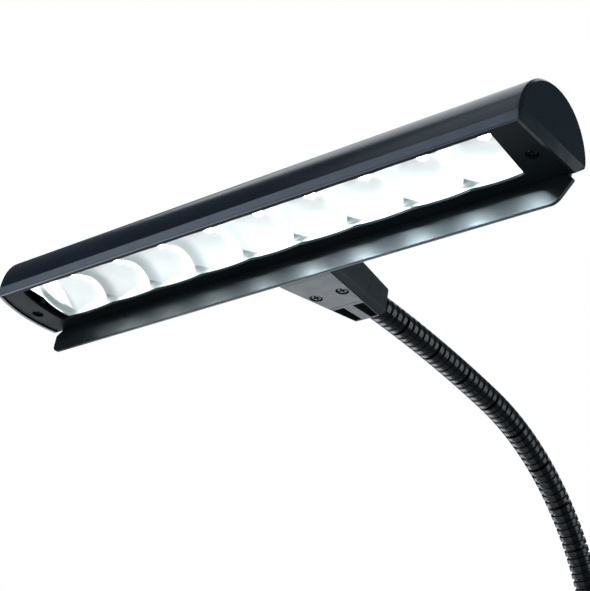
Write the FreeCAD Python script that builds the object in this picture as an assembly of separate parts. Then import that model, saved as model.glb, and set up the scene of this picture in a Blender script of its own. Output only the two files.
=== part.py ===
"""Music stand light: a nine-cell lamp head on a ribbed gooseneck, held by a spring clip.

Millimetres, +Z up. The origin is the middle of the fixed clip pad, on its clamping face.
The player sits on the -Y side, the stand's desk goes up between the two clip pads.
Head sizes are given in the head's own frame, whose origin is the middle of its lower face,
and each finished head piece is moved to its place at the end of the neck.
"""
import FreeCAD, Part
import math
import os

from FreeCAD import Vector

os.makedirs("parts", exist_ok=True)

# Clearances
SLIDE_FIT = 0.1
LOOSE_FIT = 0.2
SCREW_FIT = 0.05
SEAT_GAP = 0.05

# How far a cut runs past the face that it opens
PAST = 1.0

# Cross-head screws, as shares of the head's diameter and height
SCREW_CROWN_SHARE = 0.72
SCREW_BEVEL_SHARE = 0.45
CROSS_LENGTH_SHARE = 0.6
CROSS_WIDTH_SHARE = 0.16
CROSS_DEPTH_SHARE = 0.55

# Lamp head section: leaning lips, a crease, and a crown of three tangent arcs
HEAD_HALF_DEPTH = 20.83
CREASE_HEIGHT = 3.6
DOME_RISE = 22.5
DOME_JOINT_ANGLE = math.radians(45)
LIP_LEAN = 0.78
REAR_BEVEL_Y = 15.4
REAR_BEVEL_HEIGHT = 4.9
SHELL_WALL = 1.7
LIP_THICKNESS = 0.9
SHELL_HALF_LENGTH = 133.45

# Right end cap: flat face with a bevelled crown and a leaning skirt
CAP_THICKNESS = 1.55
CAP_BEVEL = 1.12
CAP_SKIRT_HEIGHT = 4.3
CAP_TONGUE_WALL = 1.5
RIGHT_TONGUE_LENGTH = 11.0
RIGHT_LIP_LENGTH = 0.9

# Left end cap: bowed in plan
BOW_RADIUS = 52.0
BOW_CENTRE_Y = 1.2
BOW_REACH = 5.1
LEFT_TONGUE_LENGTH = 6.5
CAP_LIP_THICKNESS = 1.4

# Face plate; the margins run from the shell's ends
PLATE_RECESS = 0.6
PLATE_THICKNESS = 1.2
PLATE_REAR_Y = 15.3
WINDOW_FRONT_Y = -16.8
WINDOW_REAR_Y = 8.7
WINDOW_LEFT_MARGIN = 8.75
WINDOW_RIGHT_FRONT_MARGIN = 12.95
WINDOW_RIGHT_REAR_MARGIN = 15.75
WINDOW_REAR_SCALLOP = 0.9
WINDOW_FRONT_SCALLOP = 0.3

# Face screws in their recesses, and the cap bosses that they run into
FACE_SCREW_RIGHT_MARGIN = 7.25
FACE_SCREW_LEFT_MARGIN = 2.65
FACE_SCREW_DIAMETER = 3.0
FACE_SCREW_LENGTH = 7.0
FACE_SCREW_HEAD_HEIGHT = 1.6
FACE_RECESS_DIAMETER = 5.0
SCREW_POCKET_WALL = 1.2
SCREW_POCKET_DEPTH = 2.8
SCREW_POCKET_FLOOR = 1.0
CAP_BOSS_HEIGHT = 7.5

# Flanges trapped between the face plate and the shell's ledges
FLANGE_THICKNESS = 1.2
FRONT_LEDGE_WIDTH = 0.9
REAR_LEDGE_WIDTH = 7.2
LEDGE_THICKNESS = 1.5

# Reflector: a row of dishes that cut into each other, and a flat rim at its bowed end
CELL_COUNT = 9
CELL_ROW_LEFT_MARGIN = 14.85
CELL_ROW_RIGHT_MARGIN = 12.25
DISH_RIM_HEIGHT = 3.5
DISH_RIM_RADIUS = 15.7
DISH_APEX_HEIGHT = 12.3
DISH_HOLE_RADIUS = 2.7
REFLECTOR_WALL = 1.0
REFLECTOR_MARGIN = 0.1
REFLECTOR_LEFT_MARGIN = 13.45
REFLECTOR_BOW_RADIUS = 32.0
REFLECTOR_BOW_Y = 4.5
END_RIM_WIDTH = 3.6

# LED board on the reflector's posts
BOARD_SEAT_HEIGHT = 13.0
BOARD_POST_RADIUS = 2.4
BOARD_PILOT_DEPTH = 4.5
BOARD_END_MARGIN = 3.0
LED_BOARD_THICKNESS = 1.2
LED_BOARD_WIDTH = 16.0
LED_CHIP_SIZE = 3.5
LED_CHIP_HEIGHT = 0.9
BOARD_SCREW_COUNT = 4
BOARD_SCREW_INSET = 2.4
BOARD_SCREW_DIAMETER = 2.0
BOARD_SCREW_LENGTH = 4.8
BOARD_SCREW_HEAD_DIAMETER = 3.8
BOARD_SCREW_HEAD_HEIGHT = 1.2

# Visor along the rear of the window; its blade spreads below the caps, then narrows to the tip
VISOR_THICKNESS = 1.4
VISOR_ROOT_Y = 15.5
VISOR_TIP_Y = 12.5
VISOR_TIP_Z = -12.4
VISOR_FLANGE_WIDTH = 2.0
VISOR_ROOT_MARGIN = 1.95
VISOR_SHOULDER_SPREAD = 2.2
VISOR_SHOULDER_Z = -2.5
VISOR_NECK_Z = -0.4
VISOR_LEFT_TAPER = 3.0
VISOR_RIGHT_TAPER = 5.2
VISOR_TIP_RADIUS = 5.0

# Neck block behind the head
BLOCK_REAR_Y = 72.5
BLOCK_FLAT_END_Y = 31.0
BLOCK_HALF_WIDTH = 13.4
BLOCK_TAPER = 0.178
BLOCK_BOTTOM_RISE = 0.0769
BLOCK_CHAMFER_WIDTH = 1.5
BLOCK_CHAMFER_HEIGHT = 3.0
BLOCK_TOP_Z = 18.0
BLOCK_TOP_RADIUS = 2.5
BLOCK_SIDE_RADIUS = 1.5
BLOCK_BOTTOM_RADIUS = 0.8
BLOCK_OVERLAP = 8.0
BLOCK_SEAM_Y = 57.0
BLOCK_SEAM_Z = 8.7
BLOCK_SEAM_SLANT = 0.23
BLOCK_REAR_CHAMFER = 2.0
POCKET_BAR_HALF_WIDTH = 2.4
POCKET_FRONT_Y = 57.4
POCKET_REAR_Y = 69.6
POCKET_DEPTH = 2.6
POCKET_EDGE_WALL = 0.5
POCKET_CORNER_RADIUS = 0.4

# Screws and crimp block inside the neck block
BLOCK_SCREW_X = 6.9
BLOCK_SCREW_Y = 45.0
BLOCK_SCREW_DIAMETER = 3.0
BLOCK_SCREW_LENGTH = 8.5
BLOCK_SCREW_HEAD_DIAMETER = 5.4
BLOCK_SCREW_HEAD_HEIGHT = 1.8
BLOCK_SCREW_SINK = 0.4
ANCHOR_LENGTH = 14.0
ANCHOR_WIDTH = 20.0
ANCHOR_BOTTOM_Z = 6.0
ANCHOR_TOP_Z = 17.0
MOUNT_SCREW_X = 8.5
MOUNT_SCREW_Z = 9.5
MOUNT_SCREW_LENGTH = 13.0
LEAD_HOLE_RADIUS = 3.0

# Gooseneck route, from the clip upwards and forwards to the head
NECK_AXIS_Z = 11.44
NECK_UPRIGHT = 16.3
NECK_BEND_RADIUS = 127.6
NECK_EASE_RADIUS = 671.0
NECK_EASE_ANGLE = math.radians(6.81)
NECK_STRAIGHT = 8.6
NECK_LINK_COUNT = 13
RIBS_PER_LINK = 6
NECK_SEAT = 5.2
RIB_RADIUS = 5.75
GROOVE_RADIUS = 5.0
GROOVE_WIDTH = 1.8
GROOVE_FLOOR_WIDTH = 0.6
LINK_END_GAP = 1.45
LINK_END_RADIUS = 5.0
BALL_RADIUS = 4.0
BALL_CLEARANCE = 0.15
NECK_BORE_RADIUS = 2.5
NECK_STUB_RADIUS = 4.2
STUB_OVERLAP = 1.5
UPPER_STUB_LENGTH = 27.0
LOWER_STUB_LENGTH = 8.8

# Clip
CLIP_WIDTH = 36.0
CLIP_PAD_WIDTH = 28.0
CLIP_PAD_HEIGHT = 14.0
CLIP_PAD_THICKNESS = 2.0
CLIP_PAD_RADIUS = 1.5
PAD_LIP = 2.0
CLIP_REST_GAP = 0.4
JAW_WALL = 4.0
JAW_EDGE_RADIUS = 1.0
JAW_TIP_RADIUS = 2.5
JAW_BEND_RADIUS = 3.0
JAW_BEND_DROP = 1.0
THROAT_RELIEF = 2.2
THROAT_RISE = 4.0
THROAT_RADIUS = 2.5
THROAT_TOP_DROP = 8.0
HINGE_Y = -8.5
HINGE_Z = 37.0
HINGE_PIN_DIAMETER = 4.0
HINGE_PIN_HEAD_WIDTH = 1.2
HINGE_PIN_HEAD_HEIGHT = 1.0
HINGE_PIN_CHAMFER = 0.4
HINGE_EAR_RADIUS = 5.0
HINGE_EAR_THICKNESS = 3.0
EAR_WEB_REACH = 1.0
EAR_WEB_RISE = 4.0
LEVER_EAR_THICKNESS = 3.1
EAR_GAP = 0.3
ARM_TOP_DROP = 4.0
ARM_TOP_RADIUS = 0.5
ARM_FLARE = 3.0
ARM_FLARE_DROP = 12.0
CHEEK_INSET = 1.0
CHEEK_END_INSET = 8.0
CHEEK_SHOULDER = 2.0
CHEEK_SHOULDER_INSET = 0.4
HANDLE_LEAN = math.radians(26.6)
HANDLE_LENGTH = 40.0
HANDLE_THICKNESS = 3.2
HANDLE_EDGE_RADIUS = 0.8
HANDLE_TIP_LENGTH = 3.0
HANDLE_TIP_FLARE = 2.0
HANDLE_TIP_RADIUS = 1.2
HANDLE_INNER_BEND = 6.0
HANDLE_OUTER_BEND = 8.0
HANDLE_FOOT_SLOPE = 3.0
HOUSING_DEPTH = 22.0
HOUSING_BOTTOM_Z = 33.0
HOUSING_TOP_Z = 66.0
HOUSING_TOP_RADIUS = 2.0
HOUSING_HEEL_DROP = 6.0
HOUSING_HEEL_RADIUS = 4.0
HOUSING_TOE_DROP = 2.0
HOUSING_TOE_RADIUS = 1.5
HOUSING_WALL = 3.3
HOUSING_SIDE_EXTRA = 0.3
HOUSING_FLOOR = 6.0
HOUSING_FRONT_WALL = 2.5
NECK_FOOT_Y = 11.0
FERRULE_HEIGHT = 6.0
FERRULE_BASE_RADIUS = 8.4
FERRULE_TOP_RADIUS = 7.1
FERRULE_STEP_HEIGHT = 1.2
FERRULE_BEVEL = 0.6
NUT_ACROSS_FLATS = 13.0
NUT_HEIGHT = 2.9
COVER_THICKNESS = 2.4
COVER_MARGIN = 1.9
COVER_CORNER_RADIUS = 1.5
COVER_SCREW_INSET = 2.5
COVER_SCREW_POST = 5.2
COVER_SCREW_DIAMETER = 2.5
COVER_SCREW_LENGTH = 7.0
COVER_SCREW_HEAD_DIAMETER = 4.6
COVER_SCREW_HEAD_HEIGHT = 1.3
COVER_SCREW_SINK = 0.1
COVER_PILOT_DEPTH = 8.0

# Spring on the hinge pin
SPRING_WIRE_DIAMETER = 1.6
SPRING_MEAN_RADIUS = 3.4
SPRING_TURNS = 3
SPRING_PITCH = 2.2
SPRING_LEG_LENGTH = 20.0

# Switch button, circuit board and power inlet
BUTTON_DIAMETER = 9.0
BUTTON_PROUD = 1.6
BUTTON_TRAVEL = 0.9
BUTTON_FLANGE = 1.2
BUTTON_STEM_RADIUS = 1.6
BUTTON_EDGE_HEIGHT = 0.8
BUTTON_EDGE_WIDTH = 0.9
BUTTON_DISH = 0.3
STEM_ENGAGEMENT = 0.5
CONTROL_Z = 51.0
CIRCUIT_BOARD_THICKNESS = 1.6
CIRCUIT_BOARD_X = 6.0
CIRCUIT_BOARD_HEADROOM = 1.5
SWITCH_BODY_SIZE = 6.2
SWITCH_BODY_HEIGHT = 3.5
INLET_BORE_DIAMETER = 5.7
INLET_PIN_DIAMETER = 2.0
INLET_PIN_SINK = 0.8
INLET_BORE_DEPTH = 9.5
INLET_NOSE_DIAMETER = 8.0
INLET_BODY_SIZE = 10.0
INLET_LENGTH = 13.5

X_AXIS = Vector(1, 0, 0)
Y_AXIS = Vector(0, 1, 0)
Z_AXIS = Vector(0, 0, 1)


# Small builders used by every piece

def box(x0, x1, y0, y1, z0, z1):
    return Part.makeBox(x1 - x0, y1 - y0, z1 - z0, Vector(x0, y0, z0))


def cylinder(radius, start, direction, length):
    return Part.makeCylinder(radius, length, start, direction)


def rounded_wire(corners, place):
    """Closed outline of straight sides; each corner is (a, b, radius) in the plane's own axes."""
    count = len(corners)
    tangents = []
    for i in range(count):
        a, b, radius = corners[i]
        corner = Vector(a, b, 0)
        before = Vector(corners[i - 1][0], corners[i - 1][1], 0)
        after = Vector(corners[(i + 1) % count][0], corners[(i + 1) % count][1], 0)
        back = (before - corner).normalize()
        ahead = (after - corner).normalize()
        if radius <= 0:
            tangents.append((corner, corner, corner))
            continue
        half = back.getAngle(ahead) / 2
        reach = radius / math.tan(half)
        centre = corner + (back + ahead).normalize() * (radius / math.sin(half))
        middle = centre + (corner - centre).normalize() * radius
        tangents.append((corner + back * reach, middle, corner + ahead * reach))
    edges = []
    for i in range(count):
        start, middle, end = tangents[i]
        if (end - start).Length > 1e-7:
            edges.append(Part.Arc(place(start), place(middle), place(end)).toShape())
        following = tangents[(i + 1) % count][0]
        if (following - end).Length > 1e-7:
            edges.append(Part.makeLine(place(end), place(following)))
    return Part.Wire(edges)


def side_prism(corners, x0, x1):
    """Solid between x0 and x1 whose outline (y, z, radius) lies in a plane across X."""
    wire = rounded_wire(corners, lambda p: Vector(x0, p.x, p.y))
    return Part.Face(wire).extrude(Vector(x1 - x0, 0, 0))


def front_prism(corners, y0, y1):
    """Solid between y0 and y1 whose outline is (x, z, radius)."""
    wire = rounded_wire(corners, lambda p: Vector(p.x, y0, p.y))
    return Part.Face(wire).extrude(Vector(0, y1 - y0, 0))


def flat_prism(corners, z0, z1):
    """Solid between z0 and z1 whose outline is (x, y, radius)."""
    wire = rounded_wire(corners, lambda p: Vector(p.x, p.y, z0))
    return Part.Face(wire).extrude(Vector(0, 0, z1 - z0))


def turned(profile, foot, direction):
    """Solid of revolution; the profile is (radius, height) along the direction from the foot."""
    points = [Vector(r, 0, h) for r, h in profile]
    face = Part.Face(Part.makePolygon(points + points[:1]))
    solid = face.revolve(Vector(0, 0, 0), Z_AXIS, 360)
    solid.Placement = FreeCAD.Placement(foot, FreeCAD.Rotation(Z_AXIS, direction))
    return solid


def pan_screw(head_face, direction, shank, length, head, head_height):
    """Screw with a bevelled head and a cross recess; it points along the direction from its head."""
    body = turned(
        [
            (0, 0),
            (head * SCREW_CROWN_SHARE / 2, 0),
            (head / 2, head_height * SCREW_BEVEL_SHARE),
            (head / 2, head_height),
            (shank / 2, head_height),
            (shank / 2, head_height + length),
            (0, head_height + length),
        ],
        Vector(0, 0, 0),
        Z_AXIS,
    )
    arm = head * CROSS_LENGTH_SHARE / 2
    slot = head * CROSS_WIDTH_SHARE / 2
    depth = head_height * CROSS_DEPTH_SHARE
    long_bar = box(-arm, arm, -slot, slot, -PAST, depth)
    cross_bar = box(-slot, slot, -arm, arm, -PAST, depth)
    body = body.cut(long_bar.fuse(cross_bar))
    body.Placement = FreeCAD.Placement(head_face, FreeCAD.Rotation(Z_AXIS, direction))
    return body


def solids_of(shape):
    return Part.makeCompound(shape.Solids) if len(shape.Solids) > 1 else shape.Solids[0]


# Lamp head, in its own frame

ARC_SPREAD = (DOME_RISE - HEAD_HALF_DEPTH) / (math.cos(DOME_JOINT_ANGLE) + math.sin(DOME_JOINT_ANGLE) - 1)
SIDE_ARC_CENTRE_Y = ARC_SPREAD * math.cos(DOME_JOINT_ANGLE)


def side_arc_point(inset, angle, side):
    """Point on the crown's side arc, at an angle above its crease; side is -1 in front, 1 behind."""
    radius = HEAD_HALF_DEPTH + SIDE_ARC_CENTRE_Y - inset
    y = radius * math.cos(angle) - SIDE_ARC_CENTRE_Y
    return Vector(0, side * y, CREASE_HEIGHT + radius * math.sin(angle))


def side_arc_y(inset, z):
    radius = HEAD_HALF_DEPTH + SIDE_ARC_CENTRE_Y - inset
    return math.sqrt(radius ** 2 - (z - CREASE_HEIGHT) ** 2) - SIDE_ARC_CENTRE_Y


def dome_wire(inset):
    """Outline of the head's section, drawn in by the inset."""
    foot = HEAD_HALF_DEPTH - inset - LIP_LEAN
    low_front = Vector(0, -foot, 0)
    low_rear = Vector(0, foot, 0)
    creases = {}
    joints = {}
    arcs = {}
    for side in (-1, 1):
        creases[side] = side_arc_point(inset, 0, side)
        joints[side] = side_arc_point(inset, DOME_JOINT_ANGLE, side)
        middle = side_arc_point(inset, DOME_JOINT_ANGLE / 2, side)
        arcs[side] = (creases[side], middle, joints[side])
    top = Vector(0, 0, CREASE_HEIGHT + DOME_RISE - inset)
    return Part.Wire([
        Part.makeLine(low_rear, creases[1]),
        Part.Arc(*arcs[1]).toShape(),
        Part.Arc(joints[1], top, joints[-1]).toShape(),
        Part.Arc(*reversed(arcs[-1])).toShape(),
        Part.makeLine(creases[-1], low_front),
        Part.makeLine(low_front, low_rear),
    ])


def dome(inset, x0, x1):
    solid = Part.Face(dome_wire(inset)).extrude(Vector(x1 - x0, 0, 0))
    solid.translate(Vector(x0, 0, 0))
    return solid


LIP_FOOT_Y = HEAD_HALF_DEPTH - LIP_LEAN
LIP_INNER_Y = LIP_FOOT_Y - LIP_THICKNESS
HEAD_HIGH = HEAD_HALF_DEPTH + DOME_RISE
PLATE_TOP_Z = PLATE_RECESS + PLATE_THICKNESS
FLANGE_BOTTOM_Z = PLATE_TOP_Z + SEAT_GAP
FLANGE_TOP_Z = FLANGE_BOTTOM_Z + FLANGE_THICKNESS
LEDGE_BOTTOM_Z = FLANGE_TOP_Z + SEAT_GAP
LEDGE_TOP_Z = LEDGE_BOTTOM_Z + LEDGE_THICKNESS
VISOR_SLOT_Y = VISOR_ROOT_Y + VISOR_THICKNESS + LOOSE_FIT
REAR_LEDGE_Y = LIP_INNER_Y - REAR_LEDGE_WIDTH
CAP_FACE_X = SHELL_HALF_LENGTH + CAP_THICKNESS
BOW_APEX_X = -SHELL_HALF_LENGTH - BOW_REACH
FACE_SCREW_RIGHT_X = SHELL_HALF_LENGTH - FACE_SCREW_RIGHT_MARGIN
FACE_SCREW_LEFT_X = FACE_SCREW_LEFT_MARGIN - SHELL_HALF_LENGTH
FACE_SCREW_HEAD_DIAMETER = FACE_RECESS_DIAMETER - 2 * LOOSE_FIT
POCKET_OUTER_RADIUS = FACE_RECESS_DIAMETER / 2 + SCREW_POCKET_WALL
POCKET_TOP_Z = PLATE_RECESS + SCREW_POCKET_DEPTH + SCREW_POCKET_FLOOR
MOUNT_SCREW_SEAT_Y = side_arc_y(SHELL_WALL, MOUNT_SCREW_Z + BLOCK_SCREW_HEAD_DIAMETER / 2)


def rear_bevel():
    """Space that the sloped lower rear corner of the shell and its caps leaves free."""
    slope = REAR_BEVEL_HEIGHT / (HEAD_HALF_DEPTH - REAR_BEVEL_Y)
    inner_y = REAR_BEVEL_Y - PAST / slope
    outer_y = HEAD_HALF_DEPTH + PAST / slope
    corners = [(inner_y, -PAST, 0), (outer_y, -PAST, 0), (outer_y, REAR_BEVEL_HEIGHT + PAST, 0)]
    return side_prism(corners, BOW_APEX_X - PAST, CAP_FACE_X + PAST)


def bow(radius, apex_x, z0, z1):
    """Upright cylinder whose left side is the bowed end; its apex lies at the given X."""
    return cylinder(radius, Vector(apex_x + radius, BOW_CENTRE_Y, z0), Z_AXIS, z1 - z0)


def bow_x(y, apex_x, radius, middle_y):
    """X of a bowed left end at the given Y."""
    return apex_x + radius - math.sqrt(radius ** 2 - (y - middle_y) ** 2)


def bowed_sheet(apex_x, radius, middle_y, right_x, front_y, rear_y, z0, z1):
    """Flat solid with three straight sides and a left end that is an arc in plan."""
    front_left = Vector(bow_x(front_y, apex_x, radius, middle_y), front_y, z0)
    rear_left = Vector(bow_x(rear_y, apex_x, radius, middle_y), rear_y, z0)
    front_right = Vector(right_x, front_y, z0)
    rear_right = Vector(right_x, rear_y, z0)
    wire = Part.Wire([
        Part.Arc(rear_left, Vector(apex_x, middle_y, z0), front_left).toShape(),
        Part.makeLine(front_left, front_right),
        Part.makeLine(front_right, rear_right),
        Part.makeLine(rear_right, rear_left),
    ])
    return Part.Face(wire).extrude(Vector(0, 0, z1 - z0))


def head_shell():
    left = -SHELL_HALF_LENGTH - PAST
    right = SHELL_HALF_LENGTH + PAST
    outer = dome(0, -SHELL_HALF_LENGTH, SHELL_HALF_LENGTH)
    above = box(left, right, -HEAD_HIGH, HEAD_HIGH, LEDGE_TOP_Z, HEAD_HIGH)
    upper = dome(SHELL_WALL, left, right).common(above)
    front_ledge_y = FRONT_LEDGE_WIDTH - LIP_INNER_Y
    ledge_gap = box(left, right, front_ledge_y, REAR_LEDGE_Y, LEDGE_BOTTOM_Z - PAST, LEDGE_TOP_Z + PAST)
    mouth = box(left, right, -LIP_INNER_Y, VISOR_SLOT_Y, -PAST, LEDGE_BOTTOM_Z)
    shell = outer.cut([upper, ledge_gap, mouth, rear_bevel()])
    inside_y = HEAD_HALF_DEPTH / 2
    holes = [cylinder(LEAD_HOLE_RADIUS, Vector(0, inside_y, NECK_AXIS_Z), Y_AXIS, HEAD_HALF_DEPTH)]
    for side in (-1, 1):
        start = Vector(side * MOUNT_SCREW_X, inside_y, MOUNT_SCREW_Z)
        holes.append(cylinder(BLOCK_SCREW_DIAMETER / 2 + SCREW_FIT, start, Y_AXIS, HEAD_HALF_DEPTH))
    return shell.cut(holes)


def cap_tongue(x0, x1):
    """Ring that slides into the shell above its ledges."""
    ring = dome(SHELL_WALL + SLIDE_FIT, x0, x1)
    hollow = dome(SHELL_WALL + SLIDE_FIT + CAP_TONGUE_WALL, x0 - PAST, x1 + PAST)
    keep = box(x0, x1, -HEAD_HIGH, HEAD_HIGH, LEDGE_TOP_Z + SLIDE_FIT, HEAD_HIGH)
    return ring.cut(hollow).common(keep)


def cap_boss(screw_x, cap_x):
    """Screw boss for the face plate, joined to the cap by a web."""
    foot = POCKET_TOP_Z + SEAT_GAP
    top = foot + CAP_BOSS_HEIGHT
    radius = POCKET_OUTER_RADIUS
    boss = cylinder(radius, Vector(screw_x, 0, foot), Z_AXIS, CAP_BOSS_HEIGHT)
    web = box(min(screw_x, cap_x), max(screw_x, cap_x), -radius / 2, radius / 2, foot, top)
    start = Vector(screw_x, 0, foot - PAST)
    pilot = cylinder(FACE_SCREW_DIAMETER / 2 + SCREW_FIT, start, Z_AXIS, CAP_BOSS_HEIGHT)
    return boss.fuse(web).cut(pilot)


def end_cap_right():
    inner_x = SHELL_HALF_LENGTH
    slab = dome(0, inner_x, CAP_FACE_X).cut(rear_bevel())
    rim = [e for e in slab.Edges if e.BoundBox.XMin > CAP_FACE_X - SEAT_GAP and e.BoundBox.ZMax > SEAT_GAP]
    slab = slab.makeChamfer(CAP_BEVEL, rim)
    lean = CAP_BEVEL / CAP_SKIRT_HEIGHT
    skirt = [
        (CAP_FACE_X - CAP_BEVEL - lean * PAST, -PAST, 0),
        (CAP_FACE_X + lean * PAST, CAP_SKIRT_HEIGHT + PAST, 0),
        (CAP_FACE_X + lean * PAST, -PAST, 0),
    ]
    slab = slab.cut(front_prism(skirt, -HEAD_HIGH, HEAD_HIGH))
    lip_x = inner_x - RIGHT_LIP_LENGTH
    lip = box(lip_x, inner_x, SLIDE_FIT - LIP_INNER_Y, VISOR_SLOT_Y - SLIDE_FIT, 0, LEDGE_BOTTOM_Z - SEAT_GAP)
    tongue = cap_tongue(inner_x - RIGHT_TONGUE_LENGTH, inner_x)
    cap = slab.fuse([lip.cut(rear_bevel()), tongue, cap_boss(FACE_SCREW_RIGHT_X, inner_x)])
    return cap.removeSplitter()


def end_cap_left():
    inner_x = -SHELL_HALF_LENGTH
    slab = dome(0, BOW_APEX_X - PAST, inner_x).common(bow(BOW_RADIUS, BOW_APEX_X, -PAST, HEAD_HIGH))
    plate_space = bow(
        BOW_RADIUS - CAP_LIP_THICKNESS, BOW_APEX_X + CAP_LIP_THICKNESS, -PAST, PLATE_TOP_Z + SEAT_GAP
    )
    slab = slab.cut([plate_space, rear_bevel()])
    tongue = cap_tongue(inner_x, inner_x + LEFT_TONGUE_LENGTH)
    start = Vector(FACE_SCREW_LEFT_X, 0, -PAST)
    pocket = cylinder(POCKET_OUTER_RADIUS + LOOSE_FIT, start, Z_AXIS, POCKET_TOP_Z + SEAT_GAP + PAST)
    cap = slab.fuse([tongue, cap_boss(FACE_SCREW_LEFT_X, inner_x)]).cut(pocket)
    return cap.removeSplitter()


CELL_ROW_LEFT_X = CELL_ROW_LEFT_MARGIN - SHELL_HALF_LENGTH
CELL_ROW_RIGHT_X = SHELL_HALF_LENGTH - CELL_ROW_RIGHT_MARGIN
CELL_PITCH = (CELL_ROW_RIGHT_X - CELL_ROW_LEFT_X) / CELL_COUNT
CELL_CENTRES = [CELL_ROW_LEFT_X + CELL_PITCH * (i + 0.5) for i in range(CELL_COUNT)]
CELL_CENTRE_Y = (WINDOW_FRONT_Y + WINDOW_REAR_Y) / 2


def scalloped_prism(left, right_front_x, right_rear_x, margin, z0, z1):
    """Prism over the row of cells: one shallow scallop per cell in front and behind, a bow at the left.

    left is (apex x, radius, middle y) of the bow.
    """
    ridges = [CELL_ROW_LEFT_X + CELL_PITCH * i for i in range(1, CELL_COUNT)]
    front_y = WINDOW_FRONT_Y - margin
    rear_y = WINDOW_REAR_Y + margin
    apex_x, radius, middle_y = left
    left_front_x = bow_x(front_y, apex_x, radius, middle_y)
    left_rear_x = bow_x(rear_y, apex_x, radius, middle_y)
    front = [left_front_x] + ridges + [right_front_x]
    rear = [left_rear_x] + ridges + [right_rear_x]
    edges = []
    for x0, x1 in zip(front[:-1], front[1:]):
        middle = Vector((x0 + x1) / 2, front_y - WINDOW_FRONT_SCALLOP, z0)
        edges.append(Part.Arc(Vector(x0, front_y, z0), middle, Vector(x1, front_y, z0)).toShape())
    edges.append(Part.makeLine(Vector(right_front_x, front_y, z0), Vector(right_rear_x, rear_y, z0)))
    for x0, x1 in zip(rear[:0:-1], rear[-2::-1]):
        middle = Vector((x0 + x1) / 2, rear_y + WINDOW_REAR_SCALLOP, z0)
        edges.append(Part.Arc(Vector(x0, rear_y, z0), middle, Vector(x1, rear_y, z0)).toShape())
    low = Vector(left_front_x, front_y, z0)
    high = Vector(left_rear_x, rear_y, z0)
    edges.append(Part.Arc(high, Vector(apex_x, middle_y, z0), low).toShape())
    return Part.Face(Part.Wire(edges)).extrude(Vector(0, 0, z1 - z0))


def window_space():
    left = (WINDOW_LEFT_MARGIN - SHELL_HALF_LENGTH, BOW_RADIUS, BOW_CENTRE_Y)
    right_front_x = SHELL_HALF_LENGTH - WINDOW_RIGHT_FRONT_MARGIN
    right_rear_x = SHELL_HALF_LENGTH - WINDOW_RIGHT_REAR_MARGIN
    return scalloped_prism(left, right_front_x, right_rear_x, 0, PLATE_RECESS - PAST, PLATE_TOP_Z + PAST)


def face_plate():
    inset = CAP_LIP_THICKNESS + LOOSE_FIT
    sheet = bowed_sheet(
        BOW_APEX_X + inset,
        BOW_RADIUS - inset,
        BOW_CENTRE_Y,
        SHELL_HALF_LENGTH - RIGHT_LIP_LENGTH - LOOSE_FIT,
        LOOSE_FIT - LIP_INNER_Y,
        PLATE_REAR_Y,
        PLATE_RECESS,
        PLATE_TOP_Z,
    )
    sheet = sheet.cut(window_space())
    for x in (FACE_SCREW_LEFT_X, FACE_SCREW_RIGHT_X):
        axis = Vector(x, 0, 0)
        cup = cylinder(POCKET_OUTER_RADIUS, axis + Z_AXIS * PLATE_RECESS, Z_AXIS, POCKET_TOP_Z - PLATE_RECESS)
        recess = cylinder(FACE_RECESS_DIAMETER / 2, axis, Z_AXIS, PLATE_RECESS + SCREW_POCKET_DEPTH)
        hole = cylinder(FACE_SCREW_DIAMETER / 2 + SCREW_FIT, axis, Z_AXIS, POCKET_TOP_Z + PAST)
        sheet = sheet.fuse(cup).cut([recess, hole])
    return sheet.removeSplitter()


def face_screws():
    head_z = PLATE_RECESS + SCREW_POCKET_DEPTH - FACE_SCREW_HEAD_HEIGHT
    screws = []
    for x in (FACE_SCREW_LEFT_X, FACE_SCREW_RIGHT_X):
        screws.append(
            pan_screw(
                Vector(x, 0, head_z),
                Z_AXIS,
                FACE_SCREW_DIAMETER,
                FACE_SCREW_LENGTH,
                FACE_SCREW_HEAD_DIAMETER,
                FACE_SCREW_HEAD_HEIGHT,
            )
        )
    return Part.makeCompound(screws)


DISH_SPHERE_Z = (
    DISH_APEX_HEIGHT ** 2 + DISH_HOLE_RADIUS ** 2 - DISH_RIM_HEIGHT ** 2 - DISH_RIM_RADIUS ** 2
) / (2 * (DISH_APEX_HEIGHT - DISH_RIM_HEIGHT))
DISH_SPHERE_RADIUS = math.hypot(DISH_RIM_RADIUS, DISH_RIM_HEIGHT - DISH_SPHERE_Z)
REFLECTOR_LEFT_X = REFLECTOR_LEFT_MARGIN - SHELL_HALF_LENGTH
REFLECTOR_RIGHT_X = CELL_ROW_RIGHT_X + REFLECTOR_WALL
BOARD_SCREW_Y = CELL_CENTRE_Y + LED_BOARD_WIDTH / 2 - BOARD_SCREW_INSET
LED_BOARD_BOTTOM_Z = BOARD_SEAT_HEIGHT + SEAT_GAP


def board_screw_places():
    """Screws stand on the ridges between cells, spread evenly along the row."""
    places = []
    for i in range(BOARD_SCREW_COUNT):
        ridge = 1 + round(i * (CELL_COUNT - 2) / (BOARD_SCREW_COUNT - 1))
        places.append(Vector(CELL_ROW_LEFT_X + CELL_PITCH * ridge, BOARD_SCREW_Y, 0))
    return places


def reflector_form(z0, z1):
    """Outside of the reflector in plan, one wall clear of its scallops."""
    return bowed_sheet(
        REFLECTOR_LEFT_X - REFLECTOR_WALL,
        REFLECTOR_BOW_RADIUS + REFLECTOR_WALL,
        REFLECTOR_BOW_Y,
        REFLECTOR_RIGHT_X,
        WINDOW_FRONT_Y - WINDOW_FRONT_SCALLOP - REFLECTOR_MARGIN - REFLECTOR_WALL,
        WINDOW_REAR_Y + WINDOW_REAR_SCALLOP + REFLECTOR_MARGIN + REFLECTOR_WALL,
        z0,
        z1,
    )


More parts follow.
